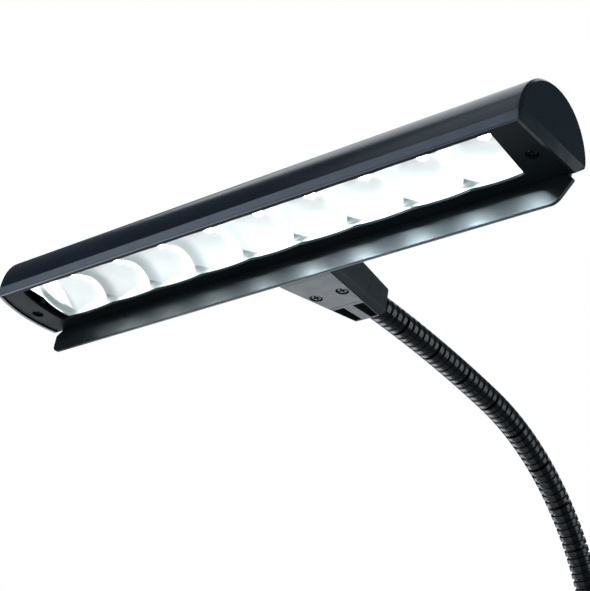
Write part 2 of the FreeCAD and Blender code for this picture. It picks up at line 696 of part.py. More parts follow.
def reflector_hollow(end_rim, z0, z1):
    """Inside of the reflector in plan; the end rim narrows it at the bowed end."""
    left = (REFLECTOR_LEFT_X + end_rim, REFLECTOR_BOW_RADIUS - end_rim, REFLECTOR_BOW_Y)
    return scalloped_prism(left, CELL_ROW_RIGHT_X, CELL_ROW_RIGHT_X, REFLECTOR_MARGIN, z0, z1)


def reflector():
    body = reflector_form(FLANGE_BOTTOM_Z, DISH_RIM_HEIGHT + REFLECTOR_WALL)
    flange_left_x = CELL_CENTRES[0] - CELL_PITCH / 2
    flange_front_y = LOOSE_FIT - LIP_INNER_Y
    flange_rear_y = VISOR_ROOT_Y - VISOR_FLANGE_WIDTH - LOOSE_FIT
    flange = box(
        flange_left_x, REFLECTOR_RIGHT_X, flange_front_y, flange_rear_y, FLANGE_BOTTOM_Z, FLANGE_TOP_Z
    )
    centres = [Vector(x, CELL_CENTRE_Y, DISH_SPHERE_Z) for x in CELL_CENTRES]
    domes = [Part.makeSphere(DISH_SPHERE_RADIUS + REFLECTOR_WALL, centre) for centre in centres]
    dishes = [Part.makeSphere(DISH_SPHERE_RADIUS, centre) for centre in centres]
    cover = domes[0].fuse(domes[1:]).common(reflector_form(DISH_RIM_HEIGHT, BOARD_SEAT_HEIGHT))
    posts = []
    pilots = []
    for place in board_screw_places():
        foot = place + Z_AXIS * DISH_RIM_HEIGHT
        posts.append(cylinder(BOARD_POST_RADIUS, foot, Z_AXIS, BOARD_SEAT_HEIGHT - DISH_RIM_HEIGHT))
        foot = place + Z_AXIS * (BOARD_SEAT_HEIGHT - BOARD_PILOT_DEPTH)
        pilots.append(cylinder(BOARD_SCREW_DIAMETER / 2 + SCREW_FIT, foot, Z_AXIS, BOARD_PILOT_DEPTH + PAST))
    body = body.fuse([flange, cover] + posts)
    mouth = reflector_hollow(0, FLANGE_BOTTOM_Z - PAST, DISH_RIM_HEIGHT)
    hollow = reflector_hollow(END_RIM_WIDTH, DISH_RIM_HEIGHT, BOARD_SEAT_HEIGHT)
    cavity = dishes[0].fuse(dishes[1:]).common(hollow)
    chip_holes = []
    for x in CELL_CENTRES:
        foot = Vector(x, CELL_CENTRE_Y, DISH_APEX_HEIGHT - PAST)
        depth = BOARD_SEAT_HEIGHT - DISH_APEX_HEIGHT + 2 * PAST
        chip_holes.append(cylinder(DISH_HOLE_RADIUS, foot, Z_AXIS, depth))
    body = body.cut([mouth, cavity] + chip_holes + pilots)
    return solids_of(body.removeSplitter())


def led_board():
    board = box(
        CELL_ROW_LEFT_X + BOARD_END_MARGIN,
        CELL_ROW_RIGHT_X - BOARD_END_MARGIN,
        CELL_CENTRE_Y - LED_BOARD_WIDTH / 2,
        CELL_CENTRE_Y + LED_BOARD_WIDTH / 2,
        LED_BOARD_BOTTOM_Z,
        LED_BOARD_BOTTOM_Z + LED_BOARD_THICKNESS,
    )
    depth = LED_BOARD_THICKNESS + 2 * PAST
    holes = []
    for place in board_screw_places():
        foot = place + Z_AXIS * (LED_BOARD_BOTTOM_Z - PAST)
        holes.append(cylinder(BOARD_SCREW_DIAMETER / 2 + SCREW_FIT, foot, Z_AXIS, depth))
    return board.cut(holes)


def led_chips():
    half = LED_CHIP_SIZE / 2
    front_y = CELL_CENTRE_Y - half
    rear_y = CELL_CENTRE_Y + half
    low_z = LED_BOARD_BOTTOM_Z - LED_CHIP_HEIGHT
    chips = []
    for x in CELL_CENTRES:
        chips.append(box(x - half, x + half, front_y, rear_y, low_z, LED_BOARD_BOTTOM_Z))
    return Part.makeCompound(chips)


def board_screws():
    head_z = LED_BOARD_BOTTOM_Z + LED_BOARD_THICKNESS + BOARD_SCREW_HEAD_HEIGHT
    screws = []
    for place in board_screw_places():
        screws.append(
            pan_screw(
                place + Z_AXIS * head_z,
                Z_AXIS * -1,
                BOARD_SCREW_DIAMETER,
                BOARD_SCREW_LENGTH,
                BOARD_SCREW_HEAD_DIAMETER,
                BOARD_SCREW_HEAD_HEIGHT,
            )
        )
    return Part.makeCompound(screws)


def visor():
    """Thin strip: a flange on the face plate, then a blade that leans forward as it drops."""
    flange_y = VISOR_ROOT_Y - VISOR_FLANGE_WIDTH
    section = [
        (flange_y, FLANGE_BOTTOM_Z, 0),
        (VISOR_ROOT_Y, FLANGE_BOTTOM_Z, 0),
        (VISOR_ROOT_Y, PLATE_RECESS, 0),
        (VISOR_TIP_Y, VISOR_TIP_Z, VISOR_THICKNESS / 4),
        (VISOR_TIP_Y + VISOR_THICKNESS, VISOR_TIP_Z, VISOR_THICKNESS / 4),
        (VISOR_ROOT_Y + VISOR_THICKNESS, PLATE_RECESS, 0),
        (VISOR_ROOT_Y + VISOR_THICKNESS, FLANGE_TOP_Z, VISOR_THICKNESS / 2),
        (flange_y, FLANGE_TOP_Z, 0),
    ]
    root_x = SHELL_HALF_LENGTH - VISOR_ROOT_MARGIN
    shoulder_x = root_x + VISOR_SHOULDER_SPREAD
    strip = side_prism(section, -shoulder_x - PAST, shoulder_x + PAST)
    outline = [
        (-root_x, FLANGE_TOP_Z + PAST, 0),
        (-root_x, VISOR_NECK_Z, 0),
        (-shoulder_x, VISOR_SHOULDER_Z, VISOR_THICKNESS),
        (-shoulder_x + VISOR_LEFT_TAPER, VISOR_TIP_Z, VISOR_TIP_RADIUS),
        (shoulder_x - VISOR_RIGHT_TAPER, VISOR_TIP_Z, VISOR_TIP_RADIUS),
        (shoulder_x, VISOR_SHOULDER_Z, VISOR_THICKNESS),
        (root_x, VISOR_NECK_Z, 0),
        (root_x, FLANGE_TOP_Z + PAST, 0),
    ]
    front_y = VISOR_TIP_Y - PAST
    rear_y = VISOR_ROOT_Y + VISOR_THICKNESS + PAST
    return strip.common(front_prism(outline, front_y, rear_y))


# Neck block

def block_bottom(y):
    return max(0.0, (y - BLOCK_FLAT_END_Y) * BLOCK_BOTTOM_RISE)


def block_flat(y):
    return BLOCK_HALF_WIDTH - BLOCK_TAPER * (y - BLOCK_FLAT_END_Y)


def block_section(y):
    flat = block_flat(y)
    side = flat + BLOCK_CHAMFER_WIDTH
    low = block_bottom(y)
    corners = [
        (-flat, low, BLOCK_BOTTOM_RADIUS),
        (flat, low, BLOCK_BOTTOM_RADIUS),
        (side, low + BLOCK_CHAMFER_HEIGHT, BLOCK_SIDE_RADIUS),
        (side, BLOCK_TOP_Z, BLOCK_TOP_RADIUS),
        (-side, BLOCK_TOP_Z, BLOCK_TOP_RADIUS),
        (-side, low + BLOCK_CHAMFER_HEIGHT, BLOCK_SIDE_RADIUS),
    ]
    return rounded_wire(corners, lambda p: Vector(p.x, y, p.y))


def block_form():
    """Whole tapered block, hollowed in front to sit on the shell."""
    stations = (HEAD_HALF_DEPTH - BLOCK_OVERLAP, BLOCK_FLAT_END_Y, BLOCK_REAR_Y)
    form = Part.makeLoft([block_section(y) for y in stations], True, True)
    reach = 2 * BLOCK_HALF_WIDTH
    return form.cut(dome(-SEAT_GAP, -reach, reach))


def seam_side(shift, far_y):
    """Space between the slanted seam, moved back by the shift, and an upright plane."""
    low = -BLOCK_TOP_Z
    high = 2 * BLOCK_TOP_Z
    low_y = BLOCK_SEAM_Y + BLOCK_SEAM_SLANT * (low - BLOCK_SEAM_Z) + shift
    high_y = BLOCK_SEAM_Y + BLOCK_SEAM_SLANT * (high - BLOCK_SEAM_Z) + shift
    reach = 2 * BLOCK_HALF_WIDTH
    return side_prism([(far_y, low, 0), (low_y, low, 0), (high_y, high, 0), (far_y, high, 0)], -reach, reach)


ANCHOR_FRONT_Y = BLOCK_SCREW_Y - ANCHOR_LENGTH / 2
ANCHOR_REAR_Y = BLOCK_SCREW_Y + ANCHOR_LENGTH / 2
NECK_CHANNEL_RADIUS = NECK_STUB_RADIUS + SLIDE_FIT


def anchor_space(margin):
    half = ANCHOR_WIDTH / 2 + margin
    front_y = ANCHOR_FRONT_Y - margin
    rear_y = ANCHOR_REAR_Y + margin
    return box(-half, half, front_y, rear_y, ANCHOR_BOTTOM_Z - margin, ANCHOR_TOP_Z + margin)


def neck_block():
    body = block_form().common(seam_side(-SEAT_GAP, 0))
    cuts = [anchor_space(SLIDE_FIT)]
    cuts.append(cylinder(LEAD_HOLE_RADIUS, Vector(0, 0, NECK_AXIS_Z), Y_AXIS, ANCHOR_FRONT_Y))
    cuts.append(cylinder(NECK_CHANNEL_RADIUS, Vector(0, ANCHOR_FRONT_Y, NECK_AXIS_Z), Y_AXIS, BLOCK_REAR_Y))
    seat_z = block_bottom(BLOCK_SCREW_Y) + BLOCK_SCREW_SINK + BLOCK_SCREW_HEAD_HEIGHT
    pilot_end_y = MOUNT_SCREW_SEAT_Y + MOUNT_SCREW_LENGTH + PAST
    for side in (-1, 1):
        foot = Vector(side * BLOCK_SCREW_X, BLOCK_SCREW_Y, -PAST)
        cuts.append(cylinder(BLOCK_SCREW_HEAD_DIAMETER / 2 + SCREW_FIT, foot, Z_AXIS, seat_z + PAST))
        cuts.append(cylinder(BLOCK_SCREW_DIAMETER / 2 + SCREW_FIT, foot, Z_AXIS, ANCHOR_BOTTOM_Z + PAST))
        start = Vector(side * MOUNT_SCREW_X, MOUNT_SCREW_SEAT_Y, MOUNT_SCREW_Z)
        cuts.append(
            cylinder(BLOCK_SCREW_DIAMETER / 2 + SCREW_FIT, start, Y_AXIS, pilot_end_y - MOUNT_SCREW_SEAT_Y)
        )
    return body.cut(cuts)


def neck_collar():
    body = block_form().common(seam_side(SEAT_GAP, 2 * BLOCK_REAR_Y))
    rear_low = block_bottom(BLOCK_REAR_Y)
    reach = BLOCK_REAR_CHAMFER
    corner = [
        (BLOCK_REAR_Y + PAST, rear_low - 2 * PAST, 0),
        (BLOCK_REAR_Y + PAST, rear_low + reach + PAST, 0),
        (BLOCK_REAR_Y - reach - 2 * PAST, rear_low - 2 * PAST, 0),
    ]
    cuts = [side_prism(corner, -2 * BLOCK_HALF_WIDTH, 2 * BLOCK_HALF_WIDTH)]
    cuts.append(cylinder(NECK_CHANNEL_RADIUS, Vector(0, 0, NECK_AXIS_Z), Y_AXIS, BLOCK_REAR_Y))
    seat = Vector(0, BLOCK_REAR_Y - NECK_SEAT, NECK_AXIS_Z)
    cuts.append(cylinder(RIB_RADIUS + SLIDE_FIT, seat, Y_AXIS, NECK_SEAT + PAST))
    for side in (-1, 1):
        corners = [
            (side * POCKET_BAR_HALF_WIDTH, POCKET_FRONT_Y, POCKET_CORNER_RADIUS),
            (side * POCKET_BAR_HALF_WIDTH, POCKET_REAR_Y, POCKET_CORNER_RADIUS),
            (side * (block_flat(POCKET_REAR_Y) - POCKET_EDGE_WALL), POCKET_REAR_Y, POCKET_CORNER_RADIUS),
            (side * (block_flat(POCKET_FRONT_Y) - POCKET_EDGE_WALL), POCKET_FRONT_Y, POCKET_CORNER_RADIUS),
        ]
        cuts.append(flat_prism(corners, -PAST, block_bottom(POCKET_REAR_Y) + POCKET_DEPTH))
    return body.cut(cuts)


def neck_anchor():
    """Crimp block on the neck's plain end; the two block screws run into it."""
    body = anchor_space(0)
    cuts = [cylinder(NECK_CHANNEL_RADIUS, Vector(0, 0, NECK_AXIS_Z), Y_AXIS, BLOCK_REAR_Y)]
    depth = block_bottom(BLOCK_SCREW_Y) + BLOCK_SCREW_SINK + BLOCK_SCREW_HEAD_HEIGHT + BLOCK_SCREW_LENGTH
    for side in (-1, 1):
        start = Vector(side * BLOCK_SCREW_X, BLOCK_SCREW_Y, 0)
        cuts.append(cylinder(BLOCK_SCREW_DIAMETER / 2 + SCREW_FIT, start, Z_AXIS, depth + SLIDE_FIT))
    return body.cut(cuts)


def block_screws():
    head_z = block_bottom(BLOCK_SCREW_Y) + BLOCK_SCREW_SINK
    screws = []
    for side in (-1, 1):
        screws.append(
            pan_screw(
                Vector(side * BLOCK_SCREW_X, BLOCK_SCREW_Y, head_z),
                Z_AXIS,
                BLOCK_SCREW_DIAMETER,
                BLOCK_SCREW_LENGTH,
                BLOCK_SCREW_HEAD_DIAMETER,
                BLOCK_SCREW_HEAD_HEIGHT,
            )
        )
    return Part.makeCompound(screws)


def mount_screws():
    """Two screws from inside the shell that hold the neck block against it."""
    screws = []
    for side in (-1, 1):
        screws.append(
            pan_screw(
                Vector(side * MOUNT_SCREW_X, MOUNT_SCREW_SEAT_Y - BLOCK_SCREW_HEAD_HEIGHT, MOUNT_SCREW_Z),
                Y_AXIS,
                BLOCK_SCREW_DIAMETER,
                MOUNT_SCREW_LENGTH,
                BLOCK_SCREW_HEAD_DIAMETER,
                BLOCK_SCREW_HEAD_HEIGHT,
            )
        )
    return Part.makeCompound(screws)


# Gooseneck

BEND_ANGLE = math.pi / 2 - NECK_EASE_ANGLE
BEND_LENGTH = NECK_BEND_RADIUS * BEND_ANGLE
EASE_LENGTH = NECK_EASE_RADIUS * NECK_EASE_ANGLE
NECK_LENGTH = NECK_UPRIGHT + BEND_LENGTH + EASE_LENGTH + NECK_STRAIGHT
NECK_FOOT_Z = HOUSING_TOP_Z + FERRULE_HEIGHT
RIB_PITCH = (NECK_LENGTH + 2 * NECK_SEAT) / (NECK_LINK_COUNT * RIBS_PER_LINK)


def neck_point(s):
    """Point of the neck's axis and its direction, at a length s above the ferrule."""
    if s <= NECK_UPRIGHT:
        return Vector(0, NECK_FOOT_Y, NECK_FOOT_Z + s), Vector(0, 0, 1)
    lean = min((s - NECK_UPRIGHT) / NECK_BEND_RADIUS, BEND_ANGLE)
    y = NECK_FOOT_Y - NECK_BEND_RADIUS * (1 - math.cos(lean))
    z = NECK_FOOT_Z + NECK_UPRIGHT + NECK_BEND_RADIUS * math.sin(lean)
    rest = s - NECK_UPRIGHT - BEND_LENGTH
    if rest > 0:
        ease = min(rest / NECK_EASE_RADIUS, NECK_EASE_ANGLE)
        y -= NECK_EASE_RADIUS * (math.cos(lean) - math.cos(lean + ease))
        z += NECK_EASE_RADIUS * (math.sin(lean + ease) - math.sin(lean))
        lean += ease
    rest -= EASE_LENGTH
    if rest > 0:
        y -= rest
    return Vector(0, y, z), Vector(0, -math.sin(lean), math.cos(lean))


def ring(s, radius):
    """Circle across the neck's axis; its seam always starts on the X side."""
    centre, along = neck_point(s)
    circle = Part.Circle(centre, along, radius)
    circle.XAxis = X_AXIS
    return Part.Wire([circle.toShape()])


def link_rings(start):
    rings = []
    for rib in range(RIBS_PER_LINK):
        foot = start + rib * RIB_PITCH
        floor = GROOVE_FLOOR_WIDTH / 2
        crest = GROOVE_WIDTH / 2
        first = (LINK_END_GAP / 2, LINK_END_RADIUS) if rib == 0 else (floor, GROOVE_RADIUS)
        last = (LINK_END_GAP / 2, LINK_END_RADIUS) if rib == RIBS_PER_LINK - 1 else (floor, GROOVE_RADIUS)
        rings.append(ring(foot + first[0], first[1]))
        rings.append(ring(foot + crest, RIB_RADIUS))
        rings.append(ring(foot + RIB_PITCH - crest, RIB_RADIUS))
        rings.append(ring(foot + RIB_PITCH - last[0], last[1]))
    return rings


def ball_on_axis(radius, centre, way):
    """Ball whose poles lie on the neck's axis, where the bore takes them away."""
    ball = Part.makeSphere(radius)
    ball.Placement = FreeCAD.Placement(centre, FreeCAD.Rotation(Z_AXIS, way))
    return ball


def neck_link(index):
    """One stiff length of the ribbed neck: a socket below, six ribs, a ball above, a straight bore."""
    start = -NECK_SEAT + index * RIBS_PER_LINK * RIB_PITCH
    end = start + RIBS_PER_LINK * RIB_PITCH
    body = Part.makeLoft(link_rings(start), True, True)
    below, below_way = neck_point(start)
    above, above_way = neck_point(end)
    cuts = []
    lead_in = PAST
    lead_out = BALL_RADIUS + PAST
    if index > 0:
        cuts.append(ball_on_axis(BALL_RADIUS + BALL_CLEARANCE, below, below_way))
    else:
        lead_in = LOWER_STUB_LENGTH + PAST
        foot = below - below_way * LOWER_STUB_LENGTH
        body = body.fuse(cylinder(NECK_STUB_RADIUS, foot, below_way, LOWER_STUB_LENGTH + STUB_OVERLAP))
    if index < NECK_LINK_COUNT - 1:
        body = body.fuse(ball_on_axis(BALL_RADIUS, above, above_way))
    else:
        lead_out = UPPER_STUB_LENGTH + PAST
        foot = above - above_way * STUB_OVERLAP
        body = body.fuse(cylinder(NECK_STUB_RADIUS, foot, above_way, UPPER_STUB_LENGTH + STUB_OVERLAP))
    chord = above - below
    way = Vector(chord).normalize()
    cuts.append(cylinder(NECK_BORE_RADIUS, below - way * lead_in, way, lead_in + chord.Length + lead_out))
    return body.cut(cuts)


# Clip, housing and lever

HALF_WIDTH = CLIP_WIDTH / 2
BASE_EAR_INNER_X = HALF_WIDTH - HINGE_EAR_THICKNESS
LEVER_OUTER_X = BASE_EAR_INNER_X - EAR_GAP
LEVER_EAR_INNER_X = LEVER_OUTER_X - LEVER_EAR_THICKNESS
PAD_TOP_Z = CLIP_PAD_HEIGHT / 2
PAD_LIP_Z = PAD_TOP_Z + PAD_LIP
HINGE = Vector(0, HINGE_Y, HINGE_Z)
CAVITY_HALF_WIDTH = HALF_WIDTH - HOUSING_WALL - HOUSING_SIDE_EXTRA
CAVITY_TOP_Z = HOUSING_TOP_Z - HOUSING_WALL
CAVITY_BOTTOM_Z = HOUSING_BOTTOM_Z + HOUSING_FLOOR
COVER_FRONT_Y = HOUSING_DEPTH - COVER_THICKNESS
COVER_SCREW_X = CAVITY_HALF_WIDTH - COVER_SCREW_INSET


def cover_outline(margin, y0, y1):
    half = CAVITY_HALF_WIDTH + COVER_MARGIN + margin
    low = CAVITY_BOTTOM_Z - COVER_MARGIN - margin
    high = CAVITY_TOP_Z + COVER_MARGIN + margin
    corners = [
        (-half, low, COVER_CORNER_RADIUS),
        (half, low, COVER_CORNER_RADIUS),
        (half, high, COVER_CORNER_RADIUS),
        (-half, high, COVER_CORNER_RADIUS),
    ]
    return front_prism(corners, y0, y1)


def cover_screw_places():
    places = []
    for side in (-1, 1):
        for z in (CAVITY_BOTTOM_Z + COVER_SCREW_POST / 2, CAVITY_TOP_Z - COVER_SCREW_POST / 2):
            places.append((side * COVER_SCREW_X, z))
    return places


def electronics_space():
    narrow = CAVITY_HALF_WIDTH - COVER_SCREW_POST
    tall = box(-narrow, narrow, HOUSING_FRONT_WALL, HOUSING_DEPTH, CAVITY_BOTTOM_Z, CAVITY_TOP_Z)
    wide = box(
        -CAVITY_HALF_WIDTH,
        CAVITY_HALF_WIDTH,
        HOUSING_FRONT_WALL,
        HOUSING_DEPTH,
        CAVITY_BOTTOM_Z + COVER_SCREW_POST,
        CAVITY_TOP_Z - COVER_SCREW_POST,
    )
    return tall.fuse(wide)


def hinge_hole():
    return cylinder(HINGE_PIN_DIAMETER / 2 + SCREW_FIT, HINGE - X_AXIS * CLIP_WIDTH, X_AXIS, 2 * CLIP_WIDTH)


def clip_base():
    jaw_front = CLIP_PAD_THICKNESS
    relief = jaw_front + THROAT_RELIEF
    body = side_prism(
        [
            (jaw_front, -PAD_LIP_Z, JAW_EDGE_RADIUS),
            (jaw_front + JAW_WALL, -PAD_LIP_Z, JAW_TIP_RADIUS),
            (jaw_front + JAW_WALL, PAD_LIP_Z - JAW_BEND_DROP, JAW_BEND_RADIUS),
            (relief + JAW_WALL, PAD_LIP_Z + THROAT_RISE, JAW_BEND_RADIUS),
            (relief + JAW_WALL, HOUSING_BOTTOM_Z - HOUSING_HEEL_DROP, JAW_BEND_RADIUS),
            (HOUSING_DEPTH, HOUSING_BOTTOM_Z, HOUSING_HEEL_RADIUS),
            (HOUSING_DEPTH, HOUSING_TOP_Z, HOUSING_TOP_RADIUS),
            (0, HOUSING_TOP_Z, HOUSING_TOP_RADIUS),
            (0, HOUSING_BOTTOM_Z - HOUSING_TOE_DROP, HOUSING_TOE_RADIUS),
            (relief, HOUSING_BOTTOM_Z - THROAT_TOP_DROP, JAW_BEND_RADIUS),
            (relief, PAD_LIP_Z + THROAT_RISE, THROAT_RADIUS),
            (jaw_front, PAD_LIP_Z, JAW_EDGE_RADIUS),
        ],
        -HALF_WIDTH,
        HALF_WIDTH,
    )
    ears = []
    for x in (-HALF_WIDTH, BASE_EAR_INNER_X):
        barrel = cylinder(HINGE_EAR_RADIUS, HINGE + X_AXIS * x, X_AXIS, HINGE_EAR_THICKNESS)
        web = side_prism(
            [
                (HINGE_Y, HINGE_Z - HINGE_EAR_RADIUS, 0),
                (EAR_WEB_REACH, HINGE_Z - HINGE_EAR_RADIUS, 0),
                (EAR_WEB_REACH, HINGE_Z + HINGE_EAR_RADIUS + EAR_WEB_RISE, 0),
                (HINGE_Y, HINGE_Z + HINGE_EAR_RADIUS, 0),
            ],
            x,
            x + HINGE_EAR_THICKNESS,
        )
        ears.extend([barrel, web])
    body = body.fuse(ears)
    cuts = [electronics_space(), cover_outline(SLIDE_FIT, COVER_FRONT_Y, HOUSING_DEPTH + PAST)]
    cuts.append(hinge_hole())
    foot = Vector(0, NECK_FOOT_Y, CAVITY_TOP_Z - PAST)
    cuts.append(cylinder(NECK_CHANNEL_RADIUS, foot, Z_AXIS, HOUSING_WALL + 2 * PAST))
    centre = Vector(0, NECK_FOOT_Y, CONTROL_Z)
    cuts.append(cylinder(BUTTON_DIAMETER / 2 + SLIDE_FIT, centre, X_AXIS, CLIP_WIDTH))
    cuts.append(cylinder(INLET_NOSE_DIAMETER / 2 + SLIDE_FIT, centre, X_AXIS * -1, CLIP_WIDTH))
    for x, z in cover_screw_places():
        start = Vector(x, COVER_FRONT_Y - COVER_PILOT_DEPTH, z)
        cuts.append(
            cylinder(COVER_SCREW_DIAMETER / 2 + SCREW_FIT, start, Y_AXIS, COVER_PILOT_DEPTH + COVER_THICKNESS)
        )
    return body.cut(cuts).removeSplitter()


def housing_cover():
    cover = cover_outline(0, COVER_FRONT_Y + SEAT_GAP, HOUSING_DEPTH)
    cuts = []
    sink = COVER_SCREW_SINK + COVER_SCREW_HEAD_HEIGHT
    shank = COVER_SCREW_DIAMETER / 2 + SCREW_FIT
    head = COVER_SCREW_HEAD_DIAMETER / 2 + LOOSE_FIT
    for x, z in cover_screw_places():
        cuts.append(cylinder(shank, Vector(x, 0, z), Y_AXIS, 2 * HOUSING_DEPTH))
        cuts.append(cylinder(head, Vector(x, HOUSING_DEPTH - sink, z), Y_AXIS, sink + PAST))
    return cover.cut(cuts)


def housing_screws():
    screws = []
    for x, z in cover_screw_places():
        screws.append(
            pan_screw(
                Vector(x, HOUSING_DEPTH - COVER_SCREW_SINK, z),
                Y_AXIS * -1,
                COVER_SCREW_DIAMETER,
                COVER_SCREW_LENGTH,
                COVER_SCREW_HEAD_DIAMETER,
                COVER_SCREW_HEAD_HEIGHT,
            )
        )
    return Part.makeCompound(screws)


def base_pad():
    half = CLIP_PAD_WIDTH / 2
    corners = [
        (-half, -PAD_TOP_Z, CLIP_PAD_RADIUS),
        (half, -PAD_TOP_Z, CLIP_PAD_RADIUS),
        (half, PAD_TOP_Z, CLIP_PAD_RADIUS),
        (-half, PAD_TOP_Z, CLIP_PAD_RADIUS),
    ]
    return front_prism(corners, 0, CLIP_PAD_THICKNESS)


def lever_pad():
    pad = base_pad()
    pad.translate(Vector(0, -CLIP_REST_GAP - CLIP_PAD_THICKNESS, 0))
    return pad


def clip_lever():
    inner = -CLIP_REST_GAP - CLIP_PAD_THICKNESS
    relief = inner - THROAT_RELIEF
    arm = side_prism(
        [
            (inner, -PAD_LIP_Z, JAW_EDGE_RADIUS),
            (inner, PAD_LIP_Z, JAW_EDGE_RADIUS),
            (relief, PAD_LIP_Z + THROAT_RISE, THROAT_RADIUS),
            (relief, HINGE_Z - ARM_TOP_DROP, ARM_TOP_RADIUS),
            (relief - JAW_WALL - ARM_FLARE, HINGE_Z - ARM_TOP_DROP, ARM_TOP_RADIUS),
            (relief - JAW_WALL, HINGE_Z - ARM_FLARE_DROP, JAW_BEND_RADIUS),
            (relief - JAW_WALL, PAD_LIP_Z + THROAT_RISE, JAW_BEND_RADIUS),
            (inner - JAW_WALL, PAD_LIP_Z - JAW_BEND_DROP, JAW_BEND_RADIUS),
            (inner - JAW_WALL, -PAD_LIP_Z, JAW_TIP_RADIUS),
        ],
        -LEVER_OUTER_X,
        LEVER_OUTER_X,
    )
    up = Vector(0, -math.sin(HANDLE_LEAN), math.cos(HANDLE_LEAN))
    out = Vector(0, -math.cos(HANDLE_LEAN), -math.sin(HANDLE_LEAN))
    leg_side = SPRING_MEAN_RADIUS + SPRING_WIRE_DIAMETER / 2 + SEAT_GAP

    def spot(along, aside, radius):
        p = HINGE + up * along + out * aside
        return (p.y, p.z, radius)

    plate = side_prism(
        [
            spot(-HINGE_EAR_RADIUS, leg_side, HANDLE_EDGE_RADIUS),
            spot(HANDLE_LENGTH - HANDLE_TIP_LENGTH, leg_side, HANDLE_INNER_BEND),
            spot(HANDLE_LENGTH, leg_side + HANDLE_TIP_FLARE, HANDLE_EDGE_RADIUS),
            spot(HANDLE_LENGTH, leg_side + HANDLE_TIP_FLARE + HANDLE_THICKNESS, HANDLE_TIP_RADIUS),
            spot(HANDLE_LENGTH - 2 * HANDLE_TIP_LENGTH, leg_side + HANDLE_THICKNESS, HANDLE_OUTER_BEND),
            spot(HANDLE_FOOT_SLOPE - HINGE_EAR_RADIUS, leg_side + HANDLE_THICKNESS, HANDLE_FOOT_SLOPE),
        ],
        -LEVER_OUTER_X,
        LEVER_OUTER_X,
    )
    flange = side_prism(
        [
            spot(CHEEK_INSET - HINGE_EAR_RADIUS, leg_side + CHEEK_INSET, 0),
            spot(HANDLE_LENGTH - CHEEK_END_INSET, leg_side + CHEEK_INSET, 0),
            spot(HANDLE_LENGTH - CHEEK_END_INSET, leg_side - CHEEK_INSET, 0),
            spot(CHEEK_SHOULDER, CHEEK_SHOULDER_INSET - HINGE_EAR_RADIUS, CHEEK_SHOULDER),
            spot(CHEEK_INSET - HINGE_EAR_RADIUS, CHEEK_SHOULDER - HINGE_EAR_RADIUS, 0),
        ],
        -LEVER_OUTER_X,
        LEVER_OUTER_X,
    )
    barrel = cylinder(HINGE_EAR_RADIUS, HINGE - X_AXIS * LEVER_OUTER_X, X_AXIS, 2 * LEVER_OUTER_X)
    body = arm.fuse([plate, flange, barrel])
    room = cylinder(leg_side + PAST, HINGE - X_AXIS * LEVER_EAR_INNER_X, X_AXIS, 2 * LEVER_EAR_INNER_X)
    channel = side_prism(
        [
            spot(-PAST, -HANDLE_LENGTH, 0),
            spot(-PAST, leg_side, 0),
            spot(2 * HANDLE_LENGTH, leg_side, 0),
            spot(2 * HANDLE_LENGTH, -HANDLE_LENGTH, 0),
        ],
        -LEVER_EAR_INNER_X,
        LEVER_EAR_INNER_X,
    )
    outer_side = leg_side + 3 * HANDLE_THICKNESS
    grip = side_prism(
        [
            spot(JAW_WALL, leg_side - PAST, 0),
            spot(HANDLE_LENGTH + PAST, leg_side - PAST, 0),
            spot(HANDLE_LENGTH + PAST, outer_side, 0),
            spot(JAW_WALL, outer_side, 0),
        ],
        -LEVER_OUTER_X,
        LEVER_OUTER_X,
    )
    keep = plate.common(grip)
    body = body.cut([room, channel]).fuse(keep).cut(hinge_hole())
    return solids_of(body.removeSplitter())


def hinge_pin():
    """Pin through both pairs of ears, with a head at one end and a chamfered tip at the other."""
    radius = HINGE_PIN_DIAMETER / 2
    head = HINGE_PIN_HEAD_HEIGHT
    tip = head + CLIP_WIDTH + 2 * HINGE_PIN_CHAMFER
    return turned(
        [
            (0, 0),
            (radius + HINGE_PIN_HEAD_WIDTH, 0),
            (radius + HINGE_PIN_HEAD_WIDTH, head),
            (radius, head),
            (radius, tip - HINGE_PIN_CHAMFER),
            (radius - HINGE_PIN_CHAMFER, tip),
            (0, tip),
        ],
        HINGE - X_AXIS * (HALF_WIDTH + head),
        X_AXIS,
    )


def biarc(p0, t0, p1, t1):
    """Two arcs that join p0 to p1 and leave and arrive along the given directions."""
    chord = p1 - p0
    both = t0 + t1
    spread = 2 * (1 - t0.dot(t1))
    across = chord.dot(both)
    reach = (-across + math.sqrt(across ** 2 + spread * chord.dot(chord))) / spread
    q0 = p0 + t0 * reach
    q1 = p1 - t1 * reach
    joint = (q0 + q1) * 0.5
    return [arc_by_corner(p0, q0, joint), arc_by_corner(joint, q1, p1)]


def arc_by_corner(a, q, b):
    middle = (a + b) * 0.5
    half_chord = (b - a).Length / 2
    slope = math.acos(min(1.0, half_chord / (q - a).Length))
    bulge = half_chord * math.tan(slope / 2)
    return Part.Arc(a, middle + (q - middle).normalize() * bulge, b).toShape()


